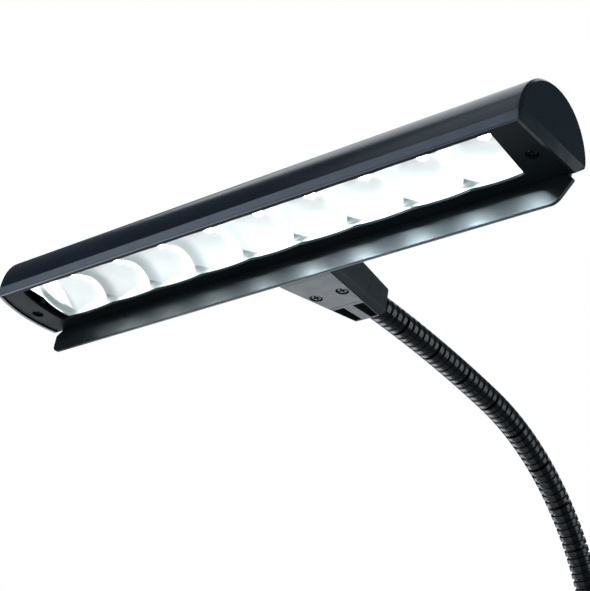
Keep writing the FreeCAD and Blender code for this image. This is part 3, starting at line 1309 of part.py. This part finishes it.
def torsion_spring():
    """Close coil round the hinge pin with two straight legs, one on the housing, one on the lever."""
    reach = HINGE_Y + SPRING_WIRE_DIAMETER / 2 + SEAT_GAP
    first_lean = math.asin((-reach - SPRING_MEAN_RADIUS) / (SPRING_LEG_LENGTH + PAST))
    start_angle = -first_lean
    end_angle = -(math.pi - HANDLE_LEAN)
    sweep = 2 * math.pi * SPRING_TURNS + (start_angle - end_angle)
    width = SPRING_PITCH * sweep / (2 * math.pi)
    rate = -width / sweep

    def on_coil(turned_by):
        angle = start_angle - turned_by
        x = -width / 2 - rate * turned_by
        point = HINGE + Vector(x, SPRING_MEAN_RADIUS * math.cos(angle), SPRING_MEAN_RADIUS * math.sin(angle))
        way = Vector(-rate, SPRING_MEAN_RADIUS * math.sin(angle), -SPRING_MEAN_RADIUS * math.cos(angle))
        return point, way.normalize()

    halves = round(sweep / math.pi)
    edges = []
    p0, t0 = on_coil(0)
    leg_start = p0 - t0 * SPRING_LEG_LENGTH
    edges.append(Part.makeLine(leg_start, p0))
    for i in range(halves):
        p1, t1 = on_coil(sweep * (i + 1) / halves)
        edges.extend(biarc(p0, t0, p1, t1))
        p0, t0 = p1, t1
    edges.append(Part.makeLine(p0, p0 + t0 * SPRING_LEG_LENGTH))
    path = Part.Wire(edges)
    first_way = (edges[0].Vertexes[1].Point - edges[0].Vertexes[0].Point).normalize()
    section = Part.Wire([Part.Circle(leg_start, first_way, SPRING_WIRE_DIAMETER / 2).toShape()])
    tube = Part.Solid(path.makePipeShell([section], True, False))
    section_area = math.pi * SPRING_WIRE_DIAMETER ** 2 / 4
    print("spring volume over section times length", tube.Volume / (section_area * path.Length))
    print("spring least gap between turns", least_turn_gap(on_coil, sweep))
    return tube


def least_turn_gap(on_coil, sweep):
    """Smallest clear space between one turn and the next, measured on points of the coil."""
    count = 24 * SPRING_TURNS
    points = [on_coil(sweep * i / count)[0] for i in range(count + 1)]
    apart = int(count * 2 * math.pi / sweep * 0.75)
    least = min(
        (points[i] - points[j]).Length for i in range(len(points)) for j in range(i + apart, len(points))
    )
    return least - SPRING_WIRE_DIAMETER


def neck_ferrule():
    foot = Vector(0, NECK_FOOT_Y, HOUSING_TOP_Z)
    floor = FERRULE_HEIGHT - NECK_SEAT
    bore = RIB_RADIUS + SLIDE_FIT
    stub = NECK_CHANNEL_RADIUS
    return turned(
        [
            (stub, 0),
            (FERRULE_BASE_RADIUS, 0),
            (FERRULE_BASE_RADIUS, FERRULE_STEP_HEIGHT),
            (FERRULE_BASE_RADIUS - FERRULE_BEVEL, FERRULE_STEP_HEIGHT + FERRULE_BEVEL),
            (FERRULE_TOP_RADIUS, FERRULE_HEIGHT - FERRULE_BEVEL),
            (FERRULE_TOP_RADIUS - FERRULE_BEVEL, FERRULE_HEIGHT),
            (bore, FERRULE_HEIGHT),
            (bore, floor),
            (stub, floor),
        ],
        foot,
        Z_AXIS,
    )


def neck_nut():
    corner = NUT_ACROSS_FLATS / 2 / math.cos(math.pi / 6)
    top = CAVITY_TOP_Z - SEAT_GAP
    points = []
    for i in range(6):
        angle = math.pi / 3 * i
        points.append((corner * math.cos(angle), NECK_FOOT_Y + corner * math.sin(angle), 0))
    body = flat_prism(points, top - NUT_HEIGHT, top)
    foot = Vector(0, NECK_FOOT_Y, top - NUT_HEIGHT - PAST)
    return body.cut(cylinder(NECK_STUB_RADIUS + SCREW_FIT, foot, Z_AXIS, NUT_HEIGHT + 2 * PAST))


BOARD_TOP_Z = CAVITY_TOP_Z - NUT_HEIGHT - CIRCUIT_BOARD_HEADROOM
BUTTON_FACE_X = HALF_WIDTH + BUTTON_PROUD
BUTTON_BACK_X = CAVITY_HALF_WIDTH - SLIDE_FIT - BUTTON_FLANGE
SWITCH_TOP_X = CIRCUIT_BOARD_X + CIRCUIT_BOARD_THICKNESS + SWITCH_BODY_HEIGHT
CONTROL = Vector(0, NECK_FOOT_Y, CONTROL_Z)


def circuit_board():
    """Driver board, held in grooves at the cavity's front wall and cover."""
    return box(
        CIRCUIT_BOARD_X,
        CIRCUIT_BOARD_X + CIRCUIT_BOARD_THICKNESS,
        HOUSING_FRONT_WALL,
        COVER_FRONT_Y,
        CAVITY_BOTTOM_Z + SLIDE_FIT,
        BOARD_TOP_Z,
    )


def switch_body():
    half = SWITCH_BODY_SIZE / 2
    base = CIRCUIT_BOARD_X + CIRCUIT_BOARD_THICKNESS
    body = box(base, SWITCH_TOP_X, NECK_FOOT_Y - half, NECK_FOOT_Y + half, CONTROL_Z - half, CONTROL_Z + half)
    bottom = CONTROL + X_AXIS * (SWITCH_TOP_X - STEM_ENGAGEMENT - BUTTON_TRAVEL - LOOSE_FIT)
    return body.cut(cylinder(BUTTON_STEM_RADIUS + SLIDE_FIT, bottom, X_AXIS, SWITCH_BODY_HEIGHT))


def switch_button():
    tip = SWITCH_TOP_X - STEM_ENGAGEMENT
    radius = BUTTON_DIAMETER / 2
    back = BUTTON_BACK_X + BUTTON_FLANGE
    return turned(
        [
            (0, tip),
            (BUTTON_STEM_RADIUS, tip),
            (BUTTON_STEM_RADIUS, BUTTON_BACK_X),
            (radius + BUTTON_FLANGE, BUTTON_BACK_X),
            (radius + BUTTON_FLANGE, back),
            (radius, back),
            (radius, BUTTON_FACE_X - BUTTON_EDGE_HEIGHT),
            (radius - BUTTON_EDGE_WIDTH, BUTTON_FACE_X),
            (0, BUTTON_FACE_X - BUTTON_DISH),
        ],
        CONTROL,
        X_AXIS,
    )


def dc_inlet():
    """Barrel inlet: a square body inside, a round nose flush with the wall, a centre pin."""
    half = INLET_BODY_SIZE / 2
    wall = SEAT_GAP - CAVITY_HALF_WIDTH
    face = -HALF_WIDTH
    rear = face + INLET_LENGTH
    body = box(wall, rear, NECK_FOOT_Y - half, NECK_FOOT_Y + half, CONTROL_Z - half, CONTROL_Z + half)
    nose = cylinder(INLET_NOSE_DIAMETER / 2, CONTROL + X_AXIS * face, X_AXIS, wall - face + PAST)
    mouth = CONTROL + X_AXIS * (face - PAST)
    bore = cylinder(INLET_BORE_DIAMETER / 2, mouth, X_AXIS, INLET_BORE_DEPTH + PAST)
    pin_tip = CONTROL + X_AXIS * (face + INLET_PIN_SINK)
    pin = cylinder(INLET_PIN_DIAMETER / 2, pin_tip, X_AXIS, INLET_BORE_DEPTH)
    return body.fuse(nose).cut(bore).fuse(pin)


# Writing the pieces, each in the row's frame

HEAD_PLACE = neck_point(NECK_LENGTH)[0] - Vector(0, BLOCK_REAR_Y, NECK_AXIS_Z)

HEAD_PIECES = {
    "head_shell": head_shell,
    "end_cap_left": end_cap_left,
    "end_cap_right": end_cap_right,
    "face_plate": face_plate,
    "face_screws": face_screws,
    "reflector": reflector,
    "led_board": led_board,
    "led_chips": led_chips,
    "board_screws": board_screws,
    "visor": visor,
    "neck_block": neck_block,
    "neck_collar": neck_collar,
    "neck_anchor": neck_anchor,
    "block_screws": block_screws,
    "mount_screws": mount_screws,
}

CLIP_PIECES = {
    "clip_base": clip_base,
    "housing_cover": housing_cover,
    "housing_screws": housing_screws,
    "base_pad": base_pad,
    "lever_pad": lever_pad,
    "clip_lever": clip_lever,
    "hinge_pin": hinge_pin,
    "torsion_spring": torsion_spring,
    "neck_ferrule": neck_ferrule,
    "neck_nut": neck_nut,
    "circuit_board": circuit_board,
    "switch_body": switch_body,
    "switch_button": switch_button,
    "dc_inlet": dc_inlet,
}


def write(name, shape):
    if not shape.isValid():
        print("not valid:", name)
    print(name, "solids", len(shape.Solids), "volume", round(shape.Volume, 1))
    shape.exportStep("parts/" + name + ".step")


def main():
    for name, build in HEAD_PIECES.items():
        piece = build()
        piece.translate(HEAD_PLACE)
        write(name, piece)
    for name, build in CLIP_PIECES.items():
        write(name, build())
    for index in range(NECK_LINK_COUNT):
        write("neck_%02d" % (index + 1), neck_link(index))
    print("head origin", HEAD_PLACE, "neck length", NECK_LENGTH, "rib pitch", RIB_PITCH)


if __name__ == "__main__":
    main()
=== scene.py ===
import math

import bmesh
import bpy
from mathutils import Matrix, Vector

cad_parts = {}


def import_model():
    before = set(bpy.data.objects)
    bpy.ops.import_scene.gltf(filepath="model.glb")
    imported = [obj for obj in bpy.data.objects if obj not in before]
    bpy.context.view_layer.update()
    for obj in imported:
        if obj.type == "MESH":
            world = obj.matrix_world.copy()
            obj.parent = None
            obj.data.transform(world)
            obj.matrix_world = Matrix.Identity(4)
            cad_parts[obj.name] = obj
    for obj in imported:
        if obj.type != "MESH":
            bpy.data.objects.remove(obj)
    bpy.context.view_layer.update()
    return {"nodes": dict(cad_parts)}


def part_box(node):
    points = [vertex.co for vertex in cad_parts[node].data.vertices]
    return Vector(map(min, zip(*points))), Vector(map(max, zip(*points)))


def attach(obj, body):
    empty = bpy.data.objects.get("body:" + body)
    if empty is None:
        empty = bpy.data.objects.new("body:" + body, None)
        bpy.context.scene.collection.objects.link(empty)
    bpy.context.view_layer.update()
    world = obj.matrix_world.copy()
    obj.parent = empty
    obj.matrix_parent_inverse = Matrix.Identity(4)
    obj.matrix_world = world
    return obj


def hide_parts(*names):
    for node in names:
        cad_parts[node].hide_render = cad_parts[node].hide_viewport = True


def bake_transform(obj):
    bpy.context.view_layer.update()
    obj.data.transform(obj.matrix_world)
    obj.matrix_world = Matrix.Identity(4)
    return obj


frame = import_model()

NODES = frame["nodes"]
MM = 0.001

# Camera: the photograph's viewing place from the head's origin, its three directions and its lens
CAMERA_FROM_HEAD = Vector((0.378758, -0.353833, -0.305900))
CAMERA_RIGHT = Vector((0.755217, 0.638720, 0.147257))
CAMERA_UP = Vector((0.217899, -0.456518, 0.862619))
CAMERA_BACK = Vector((0.618198, -0.619377, -0.483946))
CAMERA_LENS = 94.01
CAMERA_SENSOR = 36.0
CAMERA_NEAR = 0.01

# Head: its origin is the middle of the lamp's open side
SHELL_LOW, SHELL_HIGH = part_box("head_shell")
HEAD_ORIGIN = Vector((0.0, (SHELL_LOW.y + SHELL_HIGH.y) / 2, SHELL_LOW.z))

# Chips, with the share of the power that each cell sends out, from left to right
CHIP_POWER = 0.037
CHIP_SHARES = (0.05, 0.07, 0.16, 0.30, 0.70, 0.88, 0.95, 0.85, 0.95)
CHIP_LIGHT = (0.86, 0.96, 1.0)
CHIP_LIGHT_RADIUS = 1.2 * MM
CHIP_SPREAD = math.radians(170)
CHIP_SPREAD_SOFTNESS = 0.3
CHIP_FACE_Z = 11.5 * MM
LENS_LIGHT = (0.90, 0.95, 1.0)
PHOSPHOR_LIGHT = (1.0, 0.98, 0.90)
PHOSPHOR_SPOT = 1.5 * MM
LENS_STRENGTH = 25.0
LENS_ROUGHNESS = 0.4

# Row of reflector cells, with painted light on the dishes that stands in for the chips' light, and
# dimmer painted light (painted shade) on the ridges between them
CELL_COUNT = len(CHIP_SHARES)
CELL_PITCH = 26.64 * MM
CELL_ROW_CENTRE_X = 1.3 * MM
CELL_CENTRE_Y = -4.05 * MM
CELL_ROW_HALF = CELL_PITCH * CELL_COUNT / 2
CELL_ROW_LEFT = CELL_ROW_CENTRE_X - CELL_ROW_HALF
CELL_ROW_RIGHT = CELL_ROW_CENTRE_X + CELL_ROW_HALF
HALF_A_CELL = 0.5
PAINTED_LIGHT_RIDGE_EDGE = (0.03, 0.17)
RIDGE_DIM_PAINTED_LIGHT = (0.02, 0.04, 0.03)
# Painted light on the dishes, a little stronger at the left end than at the right
LEFT_DISH_PAINTED_LIGHT = (0.32, 0.33, 0.32)
RIGHT_DISH_PAINTED_LIGHT = (0.27, 0.27, 0.26)

# Visor, whose paint is dullest at its left end
VISOR_DULL_END = (-125 * MM, -60 * MM)
VISOR_SHINE = (0.08, 0.66)
VISOR_TINT = (0.80, 0.92, 1.0, 1.0)
SHELL_TINT = (0.84, 0.86, 1.0, 1.0)
PLATE_IOR = 1.15

# Surfaces: where most of a noise's values lie, and how much smaller the patches of gloss are
NOISE_SPAN = (0.3, 0.7)
GLOSS_PATCH_SHARE = 0.25
GRAIN_DETAIL = 3.0
EDGE_SAMPLES = 4

# Room
NECK_TOP = Vector((0.0, -0.08, 0.17))
FLOOR_CENTRE = Vector((-0.9, -0.4, -1.05))
FLOOR_HALF_SIZE = 1.3
BACKDROP_WAY = Vector((-0.60, 0.70, 0.55)).normalized()
BACKDROP_EDGE = (0.955, 0.992)
WALL_SIDE = (-0.35, -0.75)
WALL_TOP = (0.15, -0.05)
WHITE = (1.0, 1.0, 1.0)
WHITE_WALL = (0.85, 0.88, 0.97)
ROOM_DARK = (0.07, 0.10, 0.13)
ROOM_PLAIN = (0.50, 0.52, 0.54)
STUDIO_LIGHT = (0.88, 0.95, 1.0)
FRONT_LIGHT = (0.74, 0.91, 1.0)


def new_material(name):
    """A material with its node tree and its shader."""
    material = bpy.data.materials.new(name)
    material.use_nodes = True
    tree = material.node_tree
    return material, tree, tree.nodes["Principled BSDF"]


def node(tree, kind, inputs=None, **settings):
    """A new node of the tree, with its settings and unlinked inputs."""
    made = tree.nodes.new(kind)
    for name, value in settings.items():
        setattr(made, name, value)
    for name, value in (inputs or {}).items():
        made.inputs[name].default_value = value
    return made


def noise(tree, size, detail=2.0):
    """Noise in the object's own space whose features are about size metres wide."""
    place = node(tree, "ShaderNodeTexCoord")
    made = node(tree, "ShaderNodeTexNoise", {"Scale": 1.0 / size, "Detail": detail})
    tree.links.new(place.outputs["Object"], made.inputs["Vector"])
    return made.outputs["Fac"]


def spread(tree, factor, low, high):
    """The noise factor's usual span mapped to low and high."""
    made = node(tree, "ShaderNodeMapRange", {"From Min": NOISE_SPAN[0], "From Max": NOISE_SPAN[1],
                                             "To Min": low, "To Max": high})
    tree.links.new(factor, made.inputs["Value"])
    return made.outputs["Result"]


def ramp(tree, value, edges, ends=(0.0, 1.0)):
    """Smooth step of the value, from the first end at the first edge to the last at the last."""
    (low, at_low), (high, at_high) = sorted(zip(edges, ends))
    made = node(tree, "ShaderNodeMapRange", {"From Min": low, "From Max": high,
                                             "To Min": at_low, "To Max": at_high},
                interpolation_type="SMOOTHSTEP")
    tree.links.new(value, made.inputs["Value"])
    return made.outputs["Result"]


def mixed(tree, factor, first, second):
    """A colour between two colours or colour sockets."""
    made = node(tree, "ShaderNodeMix", data_type="RGBA")
    tree.links.new(factor, made.inputs["Factor"])
    for socket, value in (("A", first), ("B", second)):
        target = next(i for i in made.inputs if i.name == socket and i.type == "RGBA")
        if isinstance(value, bpy.types.NodeSocket):
            tree.links.new(value, target)
        else:
            target.default_value = (*value, 1.0)
    return next(o for o in made.outputs if o.type == "RGBA")


def joined(tree, operation, first, second):
    """Two numbers joined by a product, the larger of the two or the like."""
    made = node(tree, "ShaderNodeMath", operation=operation)
    tree.links.new(first, made.inputs[0])
    tree.links.new(second, made.inputs[1])
    return made.outputs[0]


def rightward(tree):
    """The object's own x in metres, which grows to the right along the head."""
    place = node(tree, "ShaderNodeTexCoord")
    way = node(tree, "ShaderNodeSeparateXYZ")
    tree.links.new(place.outputs["Object"], way.inputs[0])
    return way.outputs["X"]


def finish(name, dark, light, roughness, blotch=18 * MM, grain=0.4 * MM, depth=0.02 * MM,
           edge=0.15 * MM, **fixed):
    """Moulded, painted or metal surface: slow changes of colour and gloss, grain, soft edges."""
    material, tree, shader = new_material(name)
    slow = noise(tree, blotch)
    fine = noise(tree, grain, GRAIN_DETAIL)
    colour = mixed(tree, spread(tree, slow, 0.0, 1.0), dark, light)
    tree.links.new(colour, shader.inputs["Base Color"])
    gloss = spread(tree, noise(tree, blotch * GLOSS_PATCH_SHARE), roughness[0], roughness[1])
    tree.links.new(gloss, shader.inputs["Roughness"])
    bump = node(tree, "ShaderNodeBump", {"Strength": 1.0, "Distance": depth})
    tree.links.new(fine, bump.inputs["Height"])
    if edge:
        bevel = node(tree, "ShaderNodeBevel", {"Radius": edge}, samples=EDGE_SAMPLES)
        tree.links.new(bevel.outputs["Normal"], bump.inputs["Normal"])
    tree.links.new(bump.outputs["Normal"], shader.inputs["Normal"])
    for socket, value in fixed.items():
        shader.inputs[socket.replace("_", " ")].default_value = value
    return material


def shell_paint():
    """Satin navy-black paint of the head's long shell."""
    return finish("shell_paint", (0.003, 0.004, 0.009), (0.005, 0.007, 0.013), (0.21, 0.25),
                  blotch=40 * MM, grain=0.5 * MM, depth=0.006 * MM, edge=0.4 * MM,
                  Specular_Tint=SHELL_TINT)


def cap_plastic():
    """Moulded end caps, a little greyer and grainier than the shell."""
    return finish("cap_plastic", (0.006, 0.009, 0.012), (0.010, 0.014, 0.018), (0.15, 0.21),
                  grain=0.6 * MM, depth=0.020 * MM, edge=0.35 * MM)


def plate_plastic():
    """Dull black plate round the window."""
    return finish("plate_plastic", (0.006, 0.009, 0.011), (0.010, 0.014, 0.017), (0.42, 0.50),
                  grain=0.35 * MM, depth=0.010 * MM, edge=0.15 * MM, IOR=PLATE_IOR)


def mirror_plastic():
    """Bright vacuum-plated dishes with painted light: an emission that stands in for the chips'
    light on them, dimmer along their ridges.
    """
    material = finish("mirror_plastic", (0.80, 0.84, 0.85), (0.90, 0.93, 0.94), (0.16, 0.24),
                      grain=1.2 * MM, depth=0.02 * MM, edge=0.0, Metallic=0.4)
    tree = material.node_tree
    x = rightward(tree)
    cells = node(tree, "ShaderNodeMapRange", {"From Min": CELL_ROW_LEFT,
                                              "From Max": CELL_ROW_LEFT + CELL_PITCH}, clamp=False)
    tree.links.new(x, cells.inputs["Value"])
    from_ridge = node(tree, "ShaderNodeMath", {1: HALF_A_CELL}, operation="PINGPONG")
    tree.links.new(cells.outputs["Result"], from_ridge.inputs[0])
    along = ramp(tree, x, (CELL_ROW_LEFT, CELL_ROW_RIGHT))
    # Painted light on the dishes, from the left end to the right end
    dish_painted_light = mixed(tree, along, LEFT_DISH_PAINTED_LIGHT, RIGHT_DISH_PAINTED_LIGHT)
    # Dimmer painted light along the ridges between the dishes, which paints shade there
    glow = mixed(tree, ramp(tree, from_ridge.outputs[0], PAINTED_LIGHT_RIDGE_EDGE), RIDGE_DIM_PAINTED_LIGHT, dish_painted_light)
    shader = tree.nodes["Principled BSDF"]
    # The painted light is sent out as emission, though the reflector is no lamp
    tree.links.new(glow, shader.inputs["Emission Color"])
    shader.inputs["Emission Strength"].default_value = 1.0
    return material


def led_face():
    """Cool white lens with its yellow phosphor under it."""
    material, tree, shader = new_material("led_face")
    patches = spread(tree, noise(tree, PHOSPHOR_SPOT), 0.0, 1.0)
    glow = mixed(tree, patches, LENS_LIGHT, PHOSPHOR_LIGHT)
    tree.links.new(glow, shader.inputs["Emission Color"])
    tree.links.new(glow, shader.inputs["Base Color"])
    shader.inputs["Emission Strength"].default_value = LENS_STRENGTH
    shader.inputs["Roughness"].default_value = LENS_ROUGHNESS
    return material


def board_mask(name, dark, light):
    """Solder mask of a circuit board."""
    return finish(name, dark, light, (0.25, 0.40),
                  blotch=6 * MM, grain=0.6 * MM, depth=0.01 * MM, edge=0.1 * MM)


def screw_metal(name, dark, light, metallic):
    """Plated or blackened screw."""
    return finish(name, dark, light, (0.28, 0.42),
                  blotch=2 * MM, grain=0.3 * MM, depth=0.008 * MM, edge=0.12 * MM,
                  Metallic=metallic)


def visor_paint():
    """Textured powder coat on the sheet-metal visor, duller towards its left end."""
    material = finish("visor_paint", (0.008, 0.012, 0.014), (0.014, 0.019, 0.022), (0.34, 0.44),
                      grain=0.8 * MM, depth=0.05 * MM, edge=0.25 * MM, Specular_Tint=VISOR_TINT)
    tree = material.node_tree
    shine = ramp(tree, rightward(tree), VISOR_DULL_END, VISOR_SHINE)
    tree.links.new(shine, tree.nodes["Principled BSDF"].inputs["Specular IOR Level"])
    return material


def block_plastic():
    """Satin plastic of the neck block and its collar."""
    return finish("block_plastic", (0.015, 0.018, 0.022), (0.021, 0.025, 0.030), (0.32, 0.40),
                  grain=0.4 * MM, depth=0.012 * MM, edge=0.3 * MM)


def neck_coat():
    """Glossy black lacquer over the wound steel of the neck."""
    return finish("neck_coat", (0.002, 0.002, 0.003), (0.004, 0.004, 0.005), (0.20, 0.28),
                  blotch=5 * MM, grain=0.5 * MM, depth=0.01 * MM, edge=0.25 * MM,
                  Coat_Weight=0.2)


def clip_plastic():
    """Satin black plastic of the clip and its housing."""
    return finish("clip_plastic", (0.010, 0.011, 0.013), (0.016, 0.017, 0.020), (0.34, 0.44),
                  grain=0.4 * MM, depth=0.015 * MM, edge=0.35 * MM)


def pad_rubber():
    """Soft matt rubber of the jaw pads."""
    return finish("pad_rubber", (0.020, 0.020, 0.021), (0.034, 0.034, 0.035), (0.70, 0.85),
                  grain=0.5 * MM, depth=0.05 * MM, edge=0.3 * MM)


def button_plastic():
    """Smoother plastic of the push button and the power inlet."""
    return finish("button_plastic", (0.012, 0.012, 0.014), (0.020, 0.020, 0.023), (0.25, 0.32),
                  grain=0.5 * MM, depth=0.008 * MM, edge=0.3 * MM)


def steel():
    """Bright drawn steel of the pin, the spring, the nut and the neck's crimp block."""
    return finish("steel", (0.42, 0.43, 0.45), (0.60, 0.61, 0.62), (0.22, 0.34),
                  blotch=3 * MM, grain=0.3 * MM, depth=0.01 * MM, edge=0.1 * MM, Metallic=1.0)


def floor_paper():
    """Matt pale paper."""
    return finish("floor_paper", (0.84, 0.84, 0.84), (0.87, 0.87, 0.87), (0.85, 0.95),
                  blotch=0.5, grain=4 * MM, depth=0.05 * MM, edge=0.0)


def dress():
    """Gives every node its material."""
    black_screw = screw_metal("screw_black", (0.010, 0.010, 0.012), (0.020, 0.020, 0.023), 0.0)
    steel_screw = screw_metal("screw_steel", (0.45, 0.46, 0.47), (0.62, 0.62, 0.63), 1.0)
    cap = cap_plastic()
    block = block_plastic()
    clip = clip_plastic()
    rubber = pad_rubber()
    neck = neck_coat()
    bright = steel()
    button = button_plastic()
    wardrobe = {
        "head_shell": shell_paint(),
        "end_cap_left": cap,
        "end_cap_right": cap,
        "face_plate": plate_plastic(),
        "face_screws": black_screw,
        "reflector": mirror_plastic(),
        "led_board": board_mask("board_white", (0.62, 0.63, 0.62), (0.74, 0.75, 0.74)),
        "led_chips": led_face(),
        "board_screws": steel_screw,
        "visor": visor_paint(),
        "neck_block": block,
        "neck_collar": block,
        "neck_anchor": bright,
        "block_screws": black_screw,
        "mount_screws": steel_screw,
        "clip_base": clip,
        "housing_cover": clip,
        "housing_screws": black_screw,
        "base_pad": rubber,
        "lever_pad": rubber,
        "clip_lever": clip,
        "hinge_pin": bright,
        "torsion_spring": bright,
        "neck_ferrule": neck,
        "neck_nut": bright,
        "circuit_board": board_mask("board_green", (0.010, 0.075, 0.025), (0.018, 0.120, 0.045)),
        "switch_body": clip,
        "switch_button": button,
        "dc_inlet": button,
    }
    for name, piece in NODES.items():
        is_neck_length = name.startswith("neck_") and name[len("neck_"):].isdigit()
        piece.data.materials.clear()
        piece.data.materials.append(neck if is_neck_length else wardrobe[name])


def lamp_lights():
    """One small light under each chip, so that the dishes and the visor are lit from there."""
    for index, share in enumerate(CHIP_SHARES):
        light = bpy.data.lights.new(f"chip_light_{index}", "SPOT")
        light.energy = CHIP_POWER * share
        light.color = CHIP_LIGHT
        light.shadow_soft_size = CHIP_LIGHT_RADIUS
        light.spot_size = CHIP_SPREAD
        light.spot_blend = CHIP_SPREAD_SOFTNESS
        lamp = bpy.data.objects.new(f"chip_light_{index}", light)
        bpy.context.scene.collection.objects.link(lamp)
        x = CELL_ROW_CENTRE_X + CELL_PITCH * (index - (CELL_COUNT - 1) / 2)
        lamp.location = HEAD_ORIGIN + Vector((x, CELL_CENTRE_Y, CHIP_FACE_Z))
        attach(lamp, "head")


def sprung_coil():
    """A copy of the spring's mesh as an object of its own, in place of the hidden CAD spring."""
    rigid = NODES["torsion_spring"]
    coil = bpy.data.objects.new("sprung_coil", rigid.data.copy())
    bpy.context.scene.collection.objects.link(coil)
    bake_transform(coil)
    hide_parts("torsion_spring")


def facing(place, target):
    """A matrix that puts a light at place with its face towards target."""
    turn = (target - place).to_track_quat("-Z", "Y").to_matrix().to_4x4()
    return Matrix.Translation(place) @ turn


def soft_box(name, place, width, height, power, target=HEAD_ORIGIN, colour=STUDIO_LIGHT):
    """A large soft light that the camera doesn't see itself."""
    light = bpy.data.lights.new(name, "AREA")
    light.shape = "RECTANGLE"
    light.size = width
    light.size_y = height
    light.energy = power
    light.color = colour
    box = bpy.data.objects.new(name, light)
    bpy.context.scene.collection.objects.link(box)
    box.matrix_world = facing(place, target)
    box.visible_camera = False


def studio_lights():
    """Soft light from above, above the camera, front left, low behind on the left and right."""
    soft_box("top_light", Vector((-0.3, 0.1, 1.3)), width=1.2, height=0.8, power=3.5)
    soft_box("fill_light", Vector((-0.30, -1.00, 1.20)), width=0.8, height=0.6, power=1.2)
    soft_box("front_light", Vector((-0.70, -1.30, 0.49)), width=0.9, height=0.33, power=2.5,
             colour=FRONT_LIGHT)
    soft_box("low_light", Vector((-0.54, 0.24, -0.12)), width=0.8, height=0.4, power=2.0)
    soft_box("right_light", Vector((0.36, 0.12, 0.25)), width=0.20, height=0.34, power=0.34,
             target=NECK_TOP)


def world():
    """Dark room with a white backdrop behind the lamp and a white wall on its left."""
    made = bpy.data.worlds.new("studio")
    bpy.context.scene.world = made
    made.use_nodes = True
    tree = made.node_tree
    sky = tree.nodes["Background"]
    place = node(tree, "ShaderNodeTexCoord")
    toward = node(tree, "ShaderNodeVectorMath", {1: BACKDROP_WAY}, operation="DOT_PRODUCT")
    tree.links.new(place.outputs["Generated"], toward.inputs[0])
    backdrop = ramp(tree, toward.outputs["Value"], BACKDROP_EDGE)
    way = node(tree, "ShaderNodeSeparateXYZ")
    tree.links.new(place.outputs["Generated"], way.inputs[0])
    wall_side = ramp(tree, way.outputs["X"], WALL_SIDE)
    wall_top = ramp(tree, way.outputs["Z"], WALL_TOP)
    wall = joined(tree, "MULTIPLY", wall_side, wall_top)
    room = mixed(tree, joined(tree, "MAXIMUM", wall, backdrop), ROOM_DARK, WHITE_WALL)
    rays = node(tree, "ShaderNodeLightPath")
    gloss = mixed(tree, rays.outputs["Is Glossy Ray"], ROOM_PLAIN, room)
    seen = joined(tree, "MAXIMUM", rays.outputs["Is Camera Ray"],
                  rays.outputs["Is Transmission Ray"])
    tree.links.new(mixed(tree, seen, gloss, WHITE), sky.inputs["Color"])
    sky.inputs["Strength"].default_value = 1.0


def floor():
    """Plain pale floor, well below the lamp."""
    mesh = bpy.data.meshes.new("floor")
    grid = bmesh.new()
    bmesh.ops.create_grid(grid, x_segments=1, y_segments=1, size=FLOOR_HALF_SIZE)
    grid.to_mesh(mesh)
    grid.free()
    made = bpy.data.objects.new("floor", mesh)
    made.location = FLOOR_CENTRE
    bpy.context.scene.collection.objects.link(made)
    mesh.materials.append(floor_paper())


def camera():
    """Camera at the photograph's place."""
    data = bpy.data.cameras.new("camera")
    data.sensor_fit = "VERTICAL"
    data.sensor_height = CAMERA_SENSOR
    data.lens = CAMERA_LENS
    data.clip_start = CAMERA_NEAR
    made = bpy.data.objects.new("camera", data)
    turn = Matrix((CAMERA_RIGHT, CAMERA_UP, CAMERA_BACK)).transposed().to_4x4()
    made.matrix_world = Matrix.Translation(HEAD_ORIGIN + CAMERA_FROM_HEAD) @ turn
    bpy.context.scene.collection.objects.link(made)
    bpy.context.scene.camera = made


def main():
    bpy.context.scene.view_settings.view_transform = "Standard"
    camera()
    world()
    studio_lights()
    floor()
    dress()
    lamp_lights()
    sprung_coil()


main()
